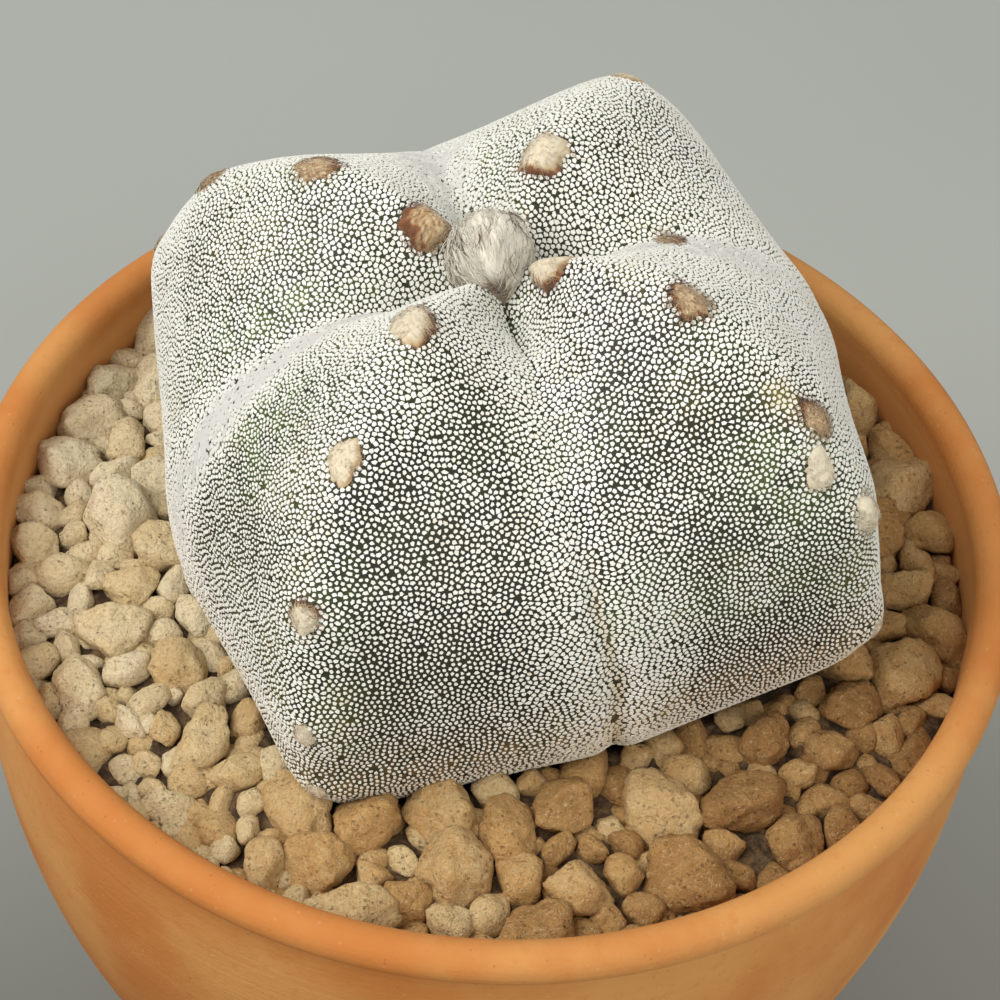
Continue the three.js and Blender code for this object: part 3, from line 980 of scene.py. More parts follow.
@dataclass
class Gravel:
    """The top dressing: a bed of grit, the part's own stones in finer form, and small ones between."""

    pot: Pot
    form: RibbedForm
    mix_top: float = 62
    gap: float = 0.3
    edge_z: float = 75
    middle_z: float = 78
    shore_z: float = 79
    count: int = 168
    largest: float = 3.8
    smallest: float = 1.5
    rounds: int = 150
    push: float = 0.4
    wall_room: float = 0.9
    plant_room: float = 0.5
    standing: float = 0.3
    planes: int = 9
    plane_from: float = 0.68
    plane_spread: float = 0.28
    ball_reach: float = 0.85
    roundness: float = 22
    stretches: tuple[tuple[float, float], ...] = ((1.08, 0.36), (0.86, 0.22), (0.78, 0.2))
    tumble: float = 0.7
    chips: int = 7
    chip_reaches: tuple[float, float] = (0.78, 1.02)
    wear: tuple[tuple[float, float], ...] = ((0.045, 2.6), (0.024, 1.0))
    seed: int = 20731
    fine_from: float = 2.5
    plain_to: float = 1.7
    fill_count: int = 200
    fill_tries: int = 12
    fill_sizes: tuple[float, float] = (1.3, 2.9)
    fill_sink: float = 0.4
    bed_from: float = 8.4
    bed_grid: tuple[int, int] = (34, 200)
    grit: tuple[float, float] = (0.5, 2.6)
    under_plant: float = 1.2

    def bed_top(self, radius: Array) -> Array:
        """Height of the bed: it falls from the middle to the wall as the square of the radius."""
        share = np.minimum(radius / self.pot.inner(self.edge_z), 1)
        return self.middle_z + (self.edge_z - self.middle_z) * share**2

    def room_to_plant(self, x: Array, y: Array) -> Array:
        """Room between places in the bed and the plant's skin at the level of the stones.

        Args:
            x: Across.
            y: Along.

        Returns:
            The room, negative inside the plant.
        """
        level = np.full(np.shape(x), self.shore_z, float)
        point = self.form.unplaced(np.stack([np.asarray(x, float), np.asarray(y, float), level], -1))
        depth = np.clip(-point[..., 2] / self.form.skirt_depth, 0, 1)
        drawn_in = (1 - depth**self.form.power) ** (1 / self.form.power)
        reach = np.hypot(point[..., 0], point[..., 1])
        return reach - drawn_in * self.form.widest(point[..., 0], point[..., 1])

    def free_place(self, draw: Draws, wall: float) -> tuple[float, float]:
        """Draws a place in the pot, again and again until it lies clear of the plant.

        Args:
            draw: The row of numbers.
            wall: Radius of the wall.

        Returns:
            Across and along.
        """
        while True:
            radius = wall * math.sqrt(draw())
            azimuth = 2 * math.pi * draw()
            x, y = radius * math.cos(azimuth), radius * math.sin(azimuth)
            if self.room_to_plant(x, y) > 0:
                return x, y

    def settled(self, places: Array, radii: Array) -> Array:
        """Lets stones push each other apart, and keeps them off the wall and the plant.

        Args:
            places: Across and along of each stone.
            radii: Their radii.

        Returns:
            Their places after all rounds.
        """
        wall = float(self.pot.inner(self.shore_z))
        centre = np.array(self.form.place[:2])
        for _ in range(self.rounds):
            from_axis = np.linalg.norm(places, axis=1, keepdims=True)
            beyond = np.maximum(from_axis - (wall - self.wall_room * radii[:, None]), 0)
            places = places - beyond * places / from_axis
            room = self.room_to_plant(places[:, 0], places[:, 1])
            short = np.maximum(self.plant_room * radii - room, 0)[:, None]
            places = places + short * unit(places - centre)
            between = places[:, None] - places[None, :]
            apart = np.linalg.norm(between, axis=-1)
            overlap = np.maximum(radii[:, None] + radii[None, :] - apart, 0)
            share = np.where(apart > 0, self.push * overlap / np.maximum(apart, 1e-12), 0)
            places = places + (share[..., None] * between).sum(1)
        return places

    def stone(self, draw: Draws, place: Array, radius: float, lift: float, detail: int, number: int) -> Piece:
        """One worn, angular stone: a ball cut by random planes.

        In a given direction its surface lies at one over a power mean of how far the direction points
        at each plane, which rounds the edges. Further planes chip its corners, and ripples of two
        sizes then wear it.

        Args:
            draw: The row of numbers.
            place: Across and along.
            radius: Its radius.
            lift: How far its middle stands over the bed, as a share of the radius.
            detail: Subdivisions of the ball.
            number: Number of the stone, which seeds its ripples and its tint.

        Returns:
            Its surface, with a mark from pale to tan that holds its own tone and painted shade towards the
            right and the front.
        """
        normals, distances = np.zeros((self.planes, 3)), np.zeros(self.planes)
        for plane in range(self.planes):
            z, azimuth = 2 * draw() - 1, 2 * math.pi * draw()
            flat = math.sqrt(1 - z * z)
            normals[plane] = flat * math.cos(azimuth), flat * math.sin(azimuth), z
            distances[plane] = self.plane_from + self.plane_spread * draw()
        stretch = np.array([least + spread * draw() for least, spread in self.stretches])
        turns = [self.tumble * draw() - self.tumble / 2 for _ in range(2)] + [math.pi * draw()]
        turned = Matrix.Identity(3)
        for axis, turn in zip("XYZ", turns):
            turned = turned @ Matrix.Rotation(turn, 3, axis)
        rng = np.random.default_rng(number)
        # The stone's own tone, drawn at random.
        shade = rng.uniform(-0.5, 0.5)
        normals = np.concatenate([normals, unit(rng.normal(size=(self.chips, 3)))])
        distances = np.concatenate([distances, rng.uniform(*self.chip_reaches, self.chips)])
        ways, faces = ball(detail)
        toward = np.maximum(ways @ (normals / distances[:, None]).T, 0) ** self.roundness
        reach = radius / (toward.sum(1) + self.ball_reach**self.roundness) ** (1 / self.roundness)
        (broad, broad_size), (fine, fine_size) = self.wear
        worn = 1 + broad * ripples(ways * radius, broad_size, number)
        worn = worn + fine * ripples(ways * radius, fine_size, number + 9000)
        points = (ways * (reach * worn)[:, None] * stretch) @ np.array(turned).T
        x, y = place
        z = float(self.bed_top(math.hypot(x, y))) + lift * radius
        # Painted shade: the stone turns tan towards the right and the front, away from the light; the rest is
        # its own tone.
        tone_and_shade = 0.42 + 0.45 * shade + 0.0085 * x - 0.0055 * y
        tones_and_shades = np.full(len(points), np.clip(tone_and_shade, 0, 1))
        return Piece("stone", points + np.array([x, y, z]), [faces], {"tone_and_shade": tones_and_shades})

    def stones(self) -> tuple[list[Piece], Array, Array]:
        """The part's own stones, by the part's own rule.

        Returns:
            Their surfaces, their places and their radii.
        """
        draw = Draws(self.seed)
        wall = float(self.pot.inner(self.shore_z))
        places, radii = np.zeros((self.count, 2)), np.zeros(self.count)
        for stone in range(self.count):
            places[stone] = self.free_place(draw, wall)
            radii[stone] = self.smallest + (self.largest - self.smallest) * draw() ** 2
        places = self.settled(places, radii)
        made = []
        for number, (place, radius) in enumerate(zip(places, radii)):
            detail = 3 + int(radius > self.fine_from)
            made.append(self.stone(draw, place, radius, self.standing, detail, number))
        return made, places, radii

    def filling(self, places: Array, radii: Array) -> list[Piece]:
        """Small stones low in the gaps between the large ones: each falls into the widest of a few.

        Args:
            places: Places of the large stones.
            radii: Their radii.

        Returns:
            Their surfaces.
        """
        draw = Draws(self.seed + 1)
        wall = float(self.pot.inner(self.shore_z)) - 0.6
        made = []
        for number in range(self.fill_count):
            options = np.array([self.free_place(draw, wall) for _ in range(self.fill_tries)])
            apart = np.linalg.norm(options[:, None] - places[None, :], axis=-1)
            room = (apart - 0.85 * radii).min(1)
            place, radius = options[room.argmax()], float(np.clip(room.max() + 0.9, *self.fill_sizes))
            lift, detail = self.fill_sink * draw() - self.fill_sink, 2 + (radius > self.plain_to)
            made.append(self.stone(draw, place, radius, lift, detail, self.count + number))
            places, radii = np.concatenate([places, place[None]]), np.append(radii, radius)
        return made

    def bed(self) -> Piece:
        """The bed under the stones: a ring that hollows out under the plant and is rough on top.

        Its top is the lower of the bed's own height and the plant's underside, less a gap. The
        underside is the lower superellipse of the plant, found in its leaning frame in a few steps.

        Returns:
            The bed's surface.
        """
        rows, columns = self.bed_grid
        azimuth = np.linspace(0, 2 * np.pi, columns, endpoint=False)[None, :]
        share = np.linspace(0, 1, rows)[:, None]
        way = np.stack([np.cos(azimuth), np.sin(azimuth)], -1)
        centre = np.array(self.form.place[:2])
        wall = float(self.pot.inner(self.edge_z)) - self.gap
        along = (way * centre).sum(-1)
        reach = -along + np.sqrt(along**2 + wall**2 - (centre**2).sum())
        flat = centre + way * (self.bed_from + share[..., None] * (reach[..., None] - self.bed_from))
        top = self.bed_top(np.linalg.norm(flat, axis=-1))
        under = np.full(top.shape, self.form.place[2] - 10)
        for _ in range(6):
            point = self.form.unplaced(np.concatenate([flat, under[..., None]], -1))
            out = np.hypot(point[..., 0], point[..., 1]) / self.form.widest(point[..., 0], point[..., 1])
            drawn_in = (1 - np.clip(out, 0, 1) ** self.form.power) ** (1 / self.form.power)
            point[..., 2] = -self.form.skirt_depth * drawn_in
            under = self.form.placed(point)[..., 2]
        rough, size = self.grit
        grit = rough * ripples(np.concatenate([flat, 0 * top[..., None]], -1), size, 5)
        top = np.where(out < 1, np.minimum(top, under - self.under_plant), top) + grit
        bottom = self.mix_top + self.gap
        low = np.concatenate([flat[[0, -1]], np.full((2, columns, 1), bottom)], -1)
        high = np.concatenate([flat, np.maximum(top, bottom + 0.5)[..., None]], -1)
        points = np.concatenate([low[:1], high, low[1:]])
        return Piece("gravel_bed", points.reshape(-1, 3), [grid_faces(rows + 2, columns, looped=True)])

    def build(self) -> None:
        """Makes the bed and both layers of stones."""
        pumice = Pumice().material()
        stones, places, radii = self.stones()
        joined("gravel_stones", stones).build(pumice, "pale_stone", "top_dressing")
        joined("gravel_small", self.filling(places, radii)).build(pumice, "pale_stone")
        soil = Soil().material()
        self.bed().build(soil, "pale_stone")
        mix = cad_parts["potting_mix"]
        mix.data.materials.clear()
        mix.data.materials.append(soil)


@dataclass(frozen=True)
class Spot:
    """A bell curve round a place on the plant: its height, its place, and its reach in both ways."""

    height: float
    turn: float
    angle: float
    turns: float
    angles: float

    def over(self, turn: Array, angle: Array) -> Array:
        """The curve's height at places on the plant."""
        around = ((turn - self.turn + 2) % 4 - 2) / self.turns
        return self.height * np.exp(-(around**2) - ((angle - self.angle) / self.angles) ** 2)


@dataclass
class CactusBody:
    """The plant's skin, down to its taproot."""

    form: RibbedForm
    columns: int = 60
    crowded: float = 0.1
    root: tuple[tuple[float, float], ...] = ((7, -19.5), (6, -25), (3.6, -36))
    root_angles: tuple[float, ...] = (170, 175, 178)
    root_tip: float = -42
    green: tuple[Spot, ...] = (
        Spot(0.75, 2.35, 22, 0.35, 16),
        Spot(0.85, 3.72, 42, 0.16, 14),
        Spot(0.8, 2.9, 32, 0.2, 16),
        Spot(0.8, 3.4, 32, 0.07, 26),
        Spot(0.8, 0.92, 60, 0.1, 12),
    )
    ochre: Spot = Spot(1, 0.976, 47.8, 0.03, 4)

    def piece(self) -> Piece:
        """The skin on a grid of turns and angles, closer at crests and folds, with the root below it.

        Returns:
            The closed surface, with marks for the colours that come through it.
        """
        even = np.linspace(0, 1, self.columns, endpoint=False)
        share = even - self.crowded * np.sin(4 * np.pi * even) / (2 * np.pi) * 2
        turn = (np.arange(4)[:, None] + share).ravel()
        angle = np.concatenate([[0.6, 1.4, 2.4], np.arange(3.4, 97, 1.15), np.arange(98, 168, 5)])
        rings = self.form.skin(turn[None, :], angle[:, None])
        flat = unit(self.form.skin(turn, 90) * np.array([1, 1, 0]))
        roots = [flat * radius + np.array([0, 0, z]) for radius, z in self.root]
        rings = np.concatenate([rings, np.array(roots)])
        top = np.array([[0, 0, self.form.rise - self.form.crown_dip]])
        tip = np.array([[0, 0, self.root_tip]])
        rows, columns, _ = rings.shape
        own = np.concatenate([rings.reshape(-1, 3), top, tip])
        count = rows * columns
        faces = [
            grid_faces(rows, columns),
            cap_faces(count, np.arange(columns), False),
            cap_faces(count + 1, np.arange(count - columns, count), True),
        ]
        turns = np.concatenate([np.tile(turn, rows), [0, 0]])
        angles = np.concatenate([np.repeat([*angle, *self.root_angles], columns), [0, 180]])
        return Piece("cactus_skin", self.form.placed(own), faces, self.marks(own, turns, angles))

    def marks(self, points: Array, turn: Array, angle: Array) -> dict[str, Array]:
        """Where green, ochre and cork come through: bell curves round places, and along the folds.

        Args:
            points: Places in the plant's frame.
            turn: Their turns.
            angle: Their angles.

        Returns:
            The marks, 0 to 1.
        """
        fold = self.form.from_fold(turn, angle)
        cork = 0.45 * np.exp(-((fold / 0.015) ** 2)) * eased(angle, 50, 75) * (np.floor(turn) == 0)
        cork = np.maximum(cork, 0.5 * eased(angle, 86, 95))
        green = 0.3 * eased(ripples(points, 34, 11), 0, 0.8)
        green = np.maximum(green, np.max([spot.over(turn, angle) for spot in self.green], axis=0))
        ochre = 0.3 * eased(ripples(points, 17, 12), 0.5, 1.0)
        ochre = np.maximum(ochre, self.ochre.over(turn, angle))
        return {"cork": cork, "green": green, "ochre": ochre}

    def build(self) -> None:
        """Makes the skin."""
        self.piece().build(CactusSkin().material(), "cactus_skin", "cactus_body")


@dataclass
class Flecks:
    """The woolly white flecks that cover the skin, each a low plate with an outline of its own."""

    form: RibbedForm
    pitch: float = 0.625
    smallest: float = 0.3
    largest: float = 0.39
    gaps: tuple[float, float] = (0.135, 0.05)
    stretch: float = 0.42
    joined: float = 0.5
    height: float = 0.08
    sink: float = 0.07
    flatness: float = 0.8
    corners: int = 5
    lowest: float = 116
    jitter: float = 0.36
    rounds: int = 16
    push: float = 0.3
    bevel: float = 0.07
    crown_clear: float = 3.2
    pad_overlap: float = 0.9
    bare_width: float = 0.006
    missing: float = 0.0002
    parts: int = 4
    seed: int = 77
    low_hollow: Spot = Spot(-0.6, 3.75, 84, 0.3, 20)
    regions: tuple[Spot, ...] = (
        Spot(0.9, 3.56, 42, 0.09, 34),
        Spot(-0.9, 3.43, 30, 0.05, 26),
        Spot(0.5, 1.3, 40, 0.2, 26),
        Spot(-0.65, 3.76, 66, 0.17, 26),
        Spot(-0.25, 2.1, 24, 0.4, 22),
        Spot(0.15, 3.1, 40, 0.3, 30),
    )
    felt: tuple[Spot, ...] = (
        Spot(1, 3.555, 42, 0.055, 34),
        Spot(0.6, 1.42, 30, 0.08, 24),
        Spot(0.65, 2.52, 24, 0.16, 22),
    )
    bars: Spot = Spot(1.1, 3.74, 66, 0.22, 34)
    stain: Spot = Spot(0.14, 0.976, 47.8, 0.03, 4)

    def scattered(self) -> tuple[Array, Array]:
        """Places over the skin, as even as seeds in a sunflower.

        The place numbered k lies at the k-th equal share of the skin's area counted down from the
        crown, and at k golden sections of its ring's area round the plant.

        Returns:
            Turns and angles.
        """
        turns, angles = np.linspace(0, 4, 1201), np.linspace(0.3, self.lowest, 420)
        grid = self.form.skin(turns[None, :], angles[:, None])
        right, below = grid[:-1, 1:] - grid[:-1, :-1], grid[1:, :-1] - grid[:-1, :-1]
        cell = np.linalg.norm(np.cross(below, right), axis=-1)
        ring = cell.sum(1)
        count = int(ring.sum() / (0.866 * self.pitch**2))
        number = np.arange(count) + 0.5
        level = np.interp(number / count, np.cumsum(ring) / ring.sum(), np.arange(len(ring)) + 1.0)
        row = np.clip(level.astype(int), 0, len(ring) - 1)
        part = np.concatenate([np.zeros((len(ring), 1)), np.cumsum(cell, 1) / ring[:, None]], 1)
        part = part * (1 - 1e-9) + np.arange(len(ring))[:, None]
        golden = (math.sqrt(5) - 1) / 2
        turn = np.interp(row + number * golden % 1, part.ravel(), np.tile(turns, len(ring)))
        return turn, np.interp(level, np.arange(len(angles)), angles)

    def relaxed(self) -> tuple[Array, Array]:
        """Shakes the even places and lets close ones push each other apart.

        A push in space becomes a step on the skin by the slopes there. Where the skin is banded,
        flecks come closer down it and stay farther apart round it.

        Returns:
            Turns and angles.
        """
        rng = np.random.default_rng(self.seed)
        turn, angle = self.scattered()
        one, other = close_pairs(self.form.skin(turn, angle), 2.4 * self.pitch)
        stretch = 1 + self.stretch * self.banding(turn, angle)[one]
        push = rng.normal(size=(len(turn), 3)) * self.jitter * self.pitch
        for _ in range(self.rounds + 1):
            down, around, _ = self.form.normals(turn, angle)
            aa, bb, ab = (down**2).sum(1), (around**2).sum(1), (down * around).sum(1)
            pa, pb = (push * down).sum(1), (push * around).sum(1)
            scale = np.maximum(aa * bb - ab * ab, 1e-9)
            angle = np.clip(angle + np.clip((pa * bb - pb * ab) / scale, -1, 1), 0.4, self.lowest)
            turn = (turn + np.clip((pb * aa - pa * ab) / scale, -0.05, 0.05)) % 4
            place = self.form.skin(turn, angle)
            between = place[other] - place[one]
            along = (between * unit(down)[one]).sum(1)
            beside = np.sqrt(np.maximum((between**2).sum(1) - along**2, 0))
            apart = np.hypot(along * stretch, beside / stretch)
            overlap = np.maximum(self.pitch - apart, 0)
            move = (self.push * overlap / np.maximum(apart, 1e-9))[:, None] * between
            sums = [np.bincount(other, way, len(place)) - np.bincount(one, way, len(place)) for way in move.T]
            push = np.stack(sums, 1)
        return turn, angle

    def kept(self, turn: Array, angle: Array, place: Array, areoles: Areoles) -> Array:
        """Which flecks stay: not on areoles, under the crown's wool, or quite all along the front fold.

        Args:
            turn: Turns.
            angle: Angles.
            place: Places in the plant's frame.
            areoles: The woolly pads.

        Returns:
            True where a fleck stays.
        """
        chance = np.random.default_rng(self.seed + 1).uniform(size=len(turn))
        clear = np.hypot(place[:, 0], place[:, 1]) > self.crown_clear
        for number, areole in enumerate(areoles.pads):
            middle, axes = self.form.axes(areole.turn, areole.angle)
            own = (place - middle) @ axes.T / np.array([areole.down, areole.across, areole.down])
            out = np.hypot(own[:, 0], own[:, 1]) / areoles.outline(number, np.arctan2(own[:, 1], own[:, 0]))
            clear &= (out > self.pad_overlap) | (np.abs(own[:, 2]) > 0.8)
        fold = self.form.from_fold(turn, angle)
        bare = np.exp(-((fold / self.bare_width) ** 2)) * eased(angle, 50, 75) * (np.floor(turn) == 0)
        return clear & (chance > np.maximum(0.3 * bare, self.missing))

    def wealth(self, turn: Array, angle: Array, place: Array) -> Array:
        """How rich the skin is in wool: most by the folds, along the crests and near the crown.

        Args:
            turn: Turns.
            angle: Angles.
            place: Places in the plant's frame.

        Returns:
            1 where flecks are large and close, 0 where they are middling, below 0 where they are
            small and lie apart, and above 1 where they have grown into one felt.
        """
        fold = self.form.from_fold(turn, angle)
        low = eased(angle, 55, 82)
        rich = (1.0 + 0.4 * low) * np.exp(-((fold / 0.25) ** 2)) + 0.6 * np.exp(-(((1 - fold) / 0.14) ** 2))
        rich = rich + 0.6 * (1 - eased(angle, 14, 48)) + 0.3 * (turn > 1)
        rich = rich - 0.45 * low * eased(fold, 0.15, 0.4) - 0.5 * eased(angle, 84, 94)
        for spot in (self.low_hollow, *self.regions):
            rich = rich + spot.over(turn, angle)
        rich = np.clip(rich + 0.22 * ripples(place, 14, 21) + 0.15 * ripples(place, 3.5, 22), -0.6, 1)
        felted = sum(spot.over(turn, angle) for spot in self.felt)
        return rich + felted * (0.85 + 0.3 * ripples(place, 5, 24) + 0.35 * ripples(place, 1.8, 25))

    def banding(self, turn: Array, angle: Array) -> Array:
        """How far flecks join into short bars across the ribs: low down by the folds and on the left flank.

        Args:
            turn: Turns.
            angle: Angles.

        Returns:
            The banding, 0 to 1.
        """
        by_fold = 0.9 * eased(angle, 45, 75) * np.exp(-((self.form.from_fold(turn, angle) / 0.35) ** 2))
        return np.clip(by_fold + self.bars.over(turn, angle), 0, 1)

    def outlines(
        self, place: Array, ways: tuple[Array, Array], rich: Array, banded: Array, corner: Array
    ) -> Array:
        """How far the corners of each fleck reach.

        A corner reaches as far as the fleck has grown, but not past the middle between it and a
        neighbour less half the dark gap, as in a net of cells. Some neighbours have grown together,
        and there the corners go right up to the middle: anywhere where the skin is rich in wool, and
        side by side, into short bars, where it is banded.

        Args:
            place: Places of all flecks.
            ways: Two directions on the skin at each place.
            rich: How rich in wool the skin is there.
            banded: How banded it is, 0 to 1.
            corner: Directions of the corners, in radians from the first way.

        Returns:
            Distances from the place to the corners.
        """
        rng = np.random.default_rng(self.seed + 3)
        one, other = close_pairs(place, 2.2 * self.pitch)
        one, other = np.concatenate([one, other]), np.concatenate([other, one])
        size = self.smallest + (self.largest - self.smallest) * np.minimum(rich, 1)
        size = size * rng.uniform(0.84, 1.12, len(place))
        gap = self.gaps[0] + (self.gaps[1] - self.gaps[0]) * np.minimum(rich[one], 1.3)
        between = place[other] - place[one]
        u, v = ((between * way[one]).sum(1) for way in ways)
        apart = np.maximum(np.hypot(u, v), 1e-6)
        felted = np.maximum(rich[one] - 1, 0)
        likely = self.joined * (0.3 + 0.7 * rich[one]) * (0.3 + 1.7 * (v / apart) ** 2)
        likely = likely + (0.7 * eased(np.abs(v) / apart, 0.7, 0.9) - likely) * banded[one] + 2.5 * felted
        met = np.tile(rng.uniform(size=len(one) // 2) < likely[: len(one) // 2], 2)
        toward = (np.cos(corner[one]) * u[:, None] + np.sin(corner[one]) * v[:, None]) / apart[:, None]
        room = (apart - np.where(met, -0.02 - 0.3 * felted, gap))[:, None] / (2 * np.maximum(toward, 0.15))
        limit, reached = np.full(corner.shape, np.inf), size[:, None] * rng.uniform(0.84, 1.2, corner.shape)
        reached = reached * (1 + 0.5 * banded[:, None] * np.sin(corner) ** 2)
        np.minimum.at(limit, one, np.where(toward > 0.15, room, np.inf))
        np.maximum.at(reached, one, np.where(met[:, None] & (toward > 0.55) & (room < 0.56), room, 0))
        return np.maximum(np.minimum(limit, reached), 0.07)

    def plates(self, turn: Array, angle: Array) -> tuple[Array, Array]:
        """One low plate at each place: its outline in the skin and a smaller one above it.

        Args:
            turn: Turns of the places.
            angle: Their angles.

        Returns:
            Points by fleck, and the corner numbers of one fleck's faces.
        """
        rng = np.random.default_rng(self.seed + 2)
        place = self.form.skin(turn, angle)
        down, _, normal = self.form.normals(turn, angle)
        ways = unit(down), np.cross(normal, unit(down))
        count, around = len(turn), np.arange(self.corners)
        corner = 2 * np.pi * (around + rng.uniform(-0.26, 0.26, (count, self.corners))) / self.corners
        corner = corner + rng.uniform(0, 2 * np.pi, (count, 1))
        reach = self.outlines(place, ways, self.wealth(turn, angle, place), self.banding(turn, angle), corner)
        reach = np.concatenate([reach, np.maximum(self.flatness * reach, reach - self.bevel)], 1)
        corner = np.tile(corner, 2)
        high = self.height * rng.uniform(0.8, 1.2, (count, 1)) * np.ones((1, self.corners))
        level = np.concatenate([np.full((count, self.corners), -self.sink), high], 1)
        points = place[:, None] + (reach * np.cos(corner))[..., None] * ways[0][:, None]
        points = points + (reach * np.sin(corner))[..., None] * ways[1][:, None]
        points = points + level[..., None] * normal[:, None]
        after = (around + 1) % self.corners
        sides = [np.stack([around, after, after + self.corners], 1),
                 np.stack([around, after + self.corners, around + self.corners], 1)]
        fan = np.stack([0 * around[1:-1], around[1:-1], around[2:]], 1)
        return points, np.concatenate([*sides, fan + self.corners, fan[:, ::-1]])

    def stained(self, turn: Array, angle: Array, place: Array) -> Array:
        """How stained flecks are: a little everywhere, more in the front fold, low down and in a spot.

        Args:
            turn: Turns.
            angle: Angles.
            place: Places in the plant's frame.

        Returns:
            The stain, 0 to 1.
        """
        chance = np.random.default_rng(self.seed + 4).normal(size=len(turn))
        front = np.exp(-((self.form.from_fold(turn, angle) / 0.03) ** 2)) * (np.floor(turn) == 0)
        stain = 0.03 + 0.03 * chance + 0.15 * front * eased(angle, 50, 75) + 0.1 * eased(angle, 87, 96)
        stain = stain + self.stain.over(turn, angle)
        return np.clip(stain + 0.05 * eased(ripples(place, 11, 23), 0.75, 1.15), 0, 1)

    def build(self, areoles: Areoles) -> None:
        """Makes the flecks, in pieces small enough to export whole.

        Args:
            areoles: The woolly pads, which have no flecks under them.
        """
        turn, angle = self.relaxed()
        place = self.form.skin(turn, angle)
        points, faces = self.plates(turn, angle)
        browned = self.stained(turn, angle, place)
        # The mark felted also says where the felt gets painted shade.
        felted = np.clip(1.6 * (self.wealth(turn, angle, place) - 1), 0, 1)
        stay = self.kept(turn, angle, place, areoles)
        felt = Felt("fleck_felt", clean=paint(244, 246, 241), tan=paint(208, 190, 148), fuzz=0.2).material()
        for part in range(self.parts):
            own = stay & (np.floor(turn * self.parts / 4).astype(int) == part)
            start = (np.arange(own.sum()) * points.shape[1])[:, None, None]
            marks = {"browned": np.repeat(browned[own], points.shape[1])}
            marks["felted"] = np.repeat(felted[own], points.shape[1])
            flat = self.form.placed(points[own].reshape(-1, 3))
            piece = Piece(f"flecks_{part + 1}", flat, [(start + faces).reshape(-1, 3)], marks, smooth=False)
            piece.build(felt, "plant_wool")


class Age(Enum):
    """How old a pad is: browning of its rim and of its middle, and the length of its hair."""

    YOUNG = (0.8, 0.4, 1.5)
    RIPE = (0.85, 0.08, 1.0)
    OLD = (0.45, 0.1, 0.45)
    SCAR = (0.05, 0.02, 0.5)
    TUFT = (0.12, 0.0, 1.7)


@dataclass(frozen=True)
class Areole:
    """One woolly pad: place on the skin, half size, age, and which way its brown side and its tip point."""

    turn: float
    angle: float
    down: float
    across: float
    age: Age
    side: float = 0
    tip: float = 0

    @property
    def high(self) -> float:
        """How far the pad stands out of the skin: thick near the crown and in a tuft, else almost flat."""
        thickness = 0.14 + 0.4 * math.exp(-((self.angle / 9) ** 2)) + 0.35 * (self.age is Age.TUFT)
        return thickness * min(self.down, self.across)


